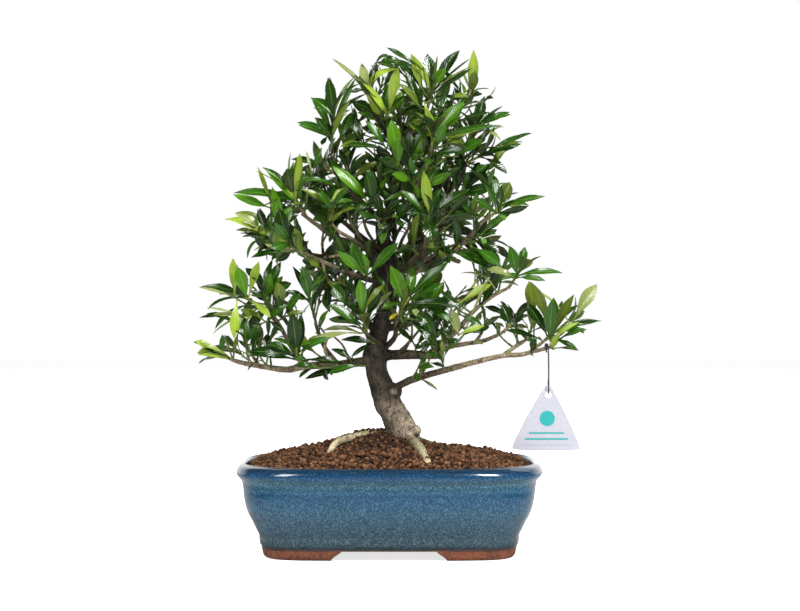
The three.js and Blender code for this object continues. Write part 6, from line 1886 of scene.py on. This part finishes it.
# Lamps: name, place in metres, size and power
LIGHTS = [
    ("key", (1.1, -1.3, 1.7), (0.6, 0.6), 64),
    ("left", (-1.2, -1.2, 1.5), (0.5, 0.8), 28),
    ("overhead", (0.1, 0.0, 2.0), (0.8, 0.8), 46),
    ("back", (0, 1.8, 0.6), (6.4, 1.3), 30)]
LIT_PLACE = (0, 0, 0.25)
CAMERA_PLACE = (10.5, -1756, 244)
CAMERA_LENS = 78.75


def make_floor():
    """A white floor that glows a little to the camera, and that a glossy surface shows darker."""
    floor_mesh = bpy.data.meshes.new("floor")
    floor_mesh.from_pydata([(-6, -4, 0), (6, -4, 0), (6, 6, 0), (-6, 6, 0)], [], [(0, 1, 2, 3)])
    floor = linked("floor", floor_mesh)
    material, tree, principled = shader(
        "pale_floor", 0.8, Emission_Color=(1, 1, 1, 1), Specular_IOR_Level=0.1)
    path = node(tree, "ShaderNodeLightPath").outputs
    glow = scaled(tree, path["Is Camera Ray"], FLOOR_GLOW)
    feed(principled, "Emission Strength", glow)
    pale = grey(tree, scaled(tree, path["Is Glossy Ray"], -0.6, 0.88))
    feed(principled, "Base Color", pale)
    floor_mesh.materials.append(material)


def make_white_room():
    """A room that is white to the camera, lights from all sides and shines faintly in glossy surfaces."""
    world = bpy.data.worlds.new("white_room")
    world.use_nodes = True
    tree = world.node_tree
    path = node(tree, "ShaderNodeLightPath").outputs
    lit = scaled(tree, path["Is Glossy Ray"], ROOM_SHINE - ROOM_LIGHT, ROOM_LIGHT)
    strength = maths(tree, "MAXIMUM", lit, path["Is Camera Ray"])
    tree.links.new(strength, tree.nodes["Background"].inputs["Strength"])
    tree.nodes["Background"].inputs["Color"].default_value = (1, 1, 1, 1)
    bpy.context.scene.world = world


def make_lamps():
    """Soft lamps that face the plant. The overhead one leaves no highlight."""
    for name, place, size, power in LIGHTS:
        lamp = bpy.data.lights.new(name, "AREA")
        lamp.shape = "RECTANGLE"
        lamp.size, lamp.size_y = size
        lamp.energy = power
        made = linked(name, lamp)
        made.visible_camera = False
        made.visible_glossy = name != "overhead"
        made.location = place
        aim = Vector(LIT_PLACE) - made.location
        made.rotation_euler = aim.to_track_quat("-Z", "Y").to_euler()


def make_camera():
    """The camera at the photograph's place: level, 1756 mm in front of the pot."""
    camera = bpy.data.cameras.new("camera")
    camera.lens = CAMERA_LENS
    camera.sensor_width = 36
    seen = linked("camera", camera)
    seen.location = placed(CAMERA_PLACE)
    seen.rotation_euler = (np.pi / 2, 0, 0)
    bpy.context.scene.camera = seen
    bpy.context.scene.view_settings.view_transform = "Standard"


def dress_screens():
    """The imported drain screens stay, in dark plastic."""
    for side in ("left", "right"):
        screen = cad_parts[f"drain_screen_{side}"]
        screen.data.materials.clear()
        screen.data.materials.append(SCREEN)


def dress_soil():
    """The packed soil stays under the granules, in dark earth, made near black to paint shade into the gaps
    between them.
    """
    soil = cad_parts["soil"]
    soil.data.materials.clear()
    soil.data.materials.append(EARTH_AND_GAP_SHADE)


make_foliage()
make_trunk()
make_twigs()
make_soil()
make_pot()
make_tag()
make_wire()
dress_screens()
dress_soil()
make_floor()
make_white_room()
make_lamps()
make_camera()
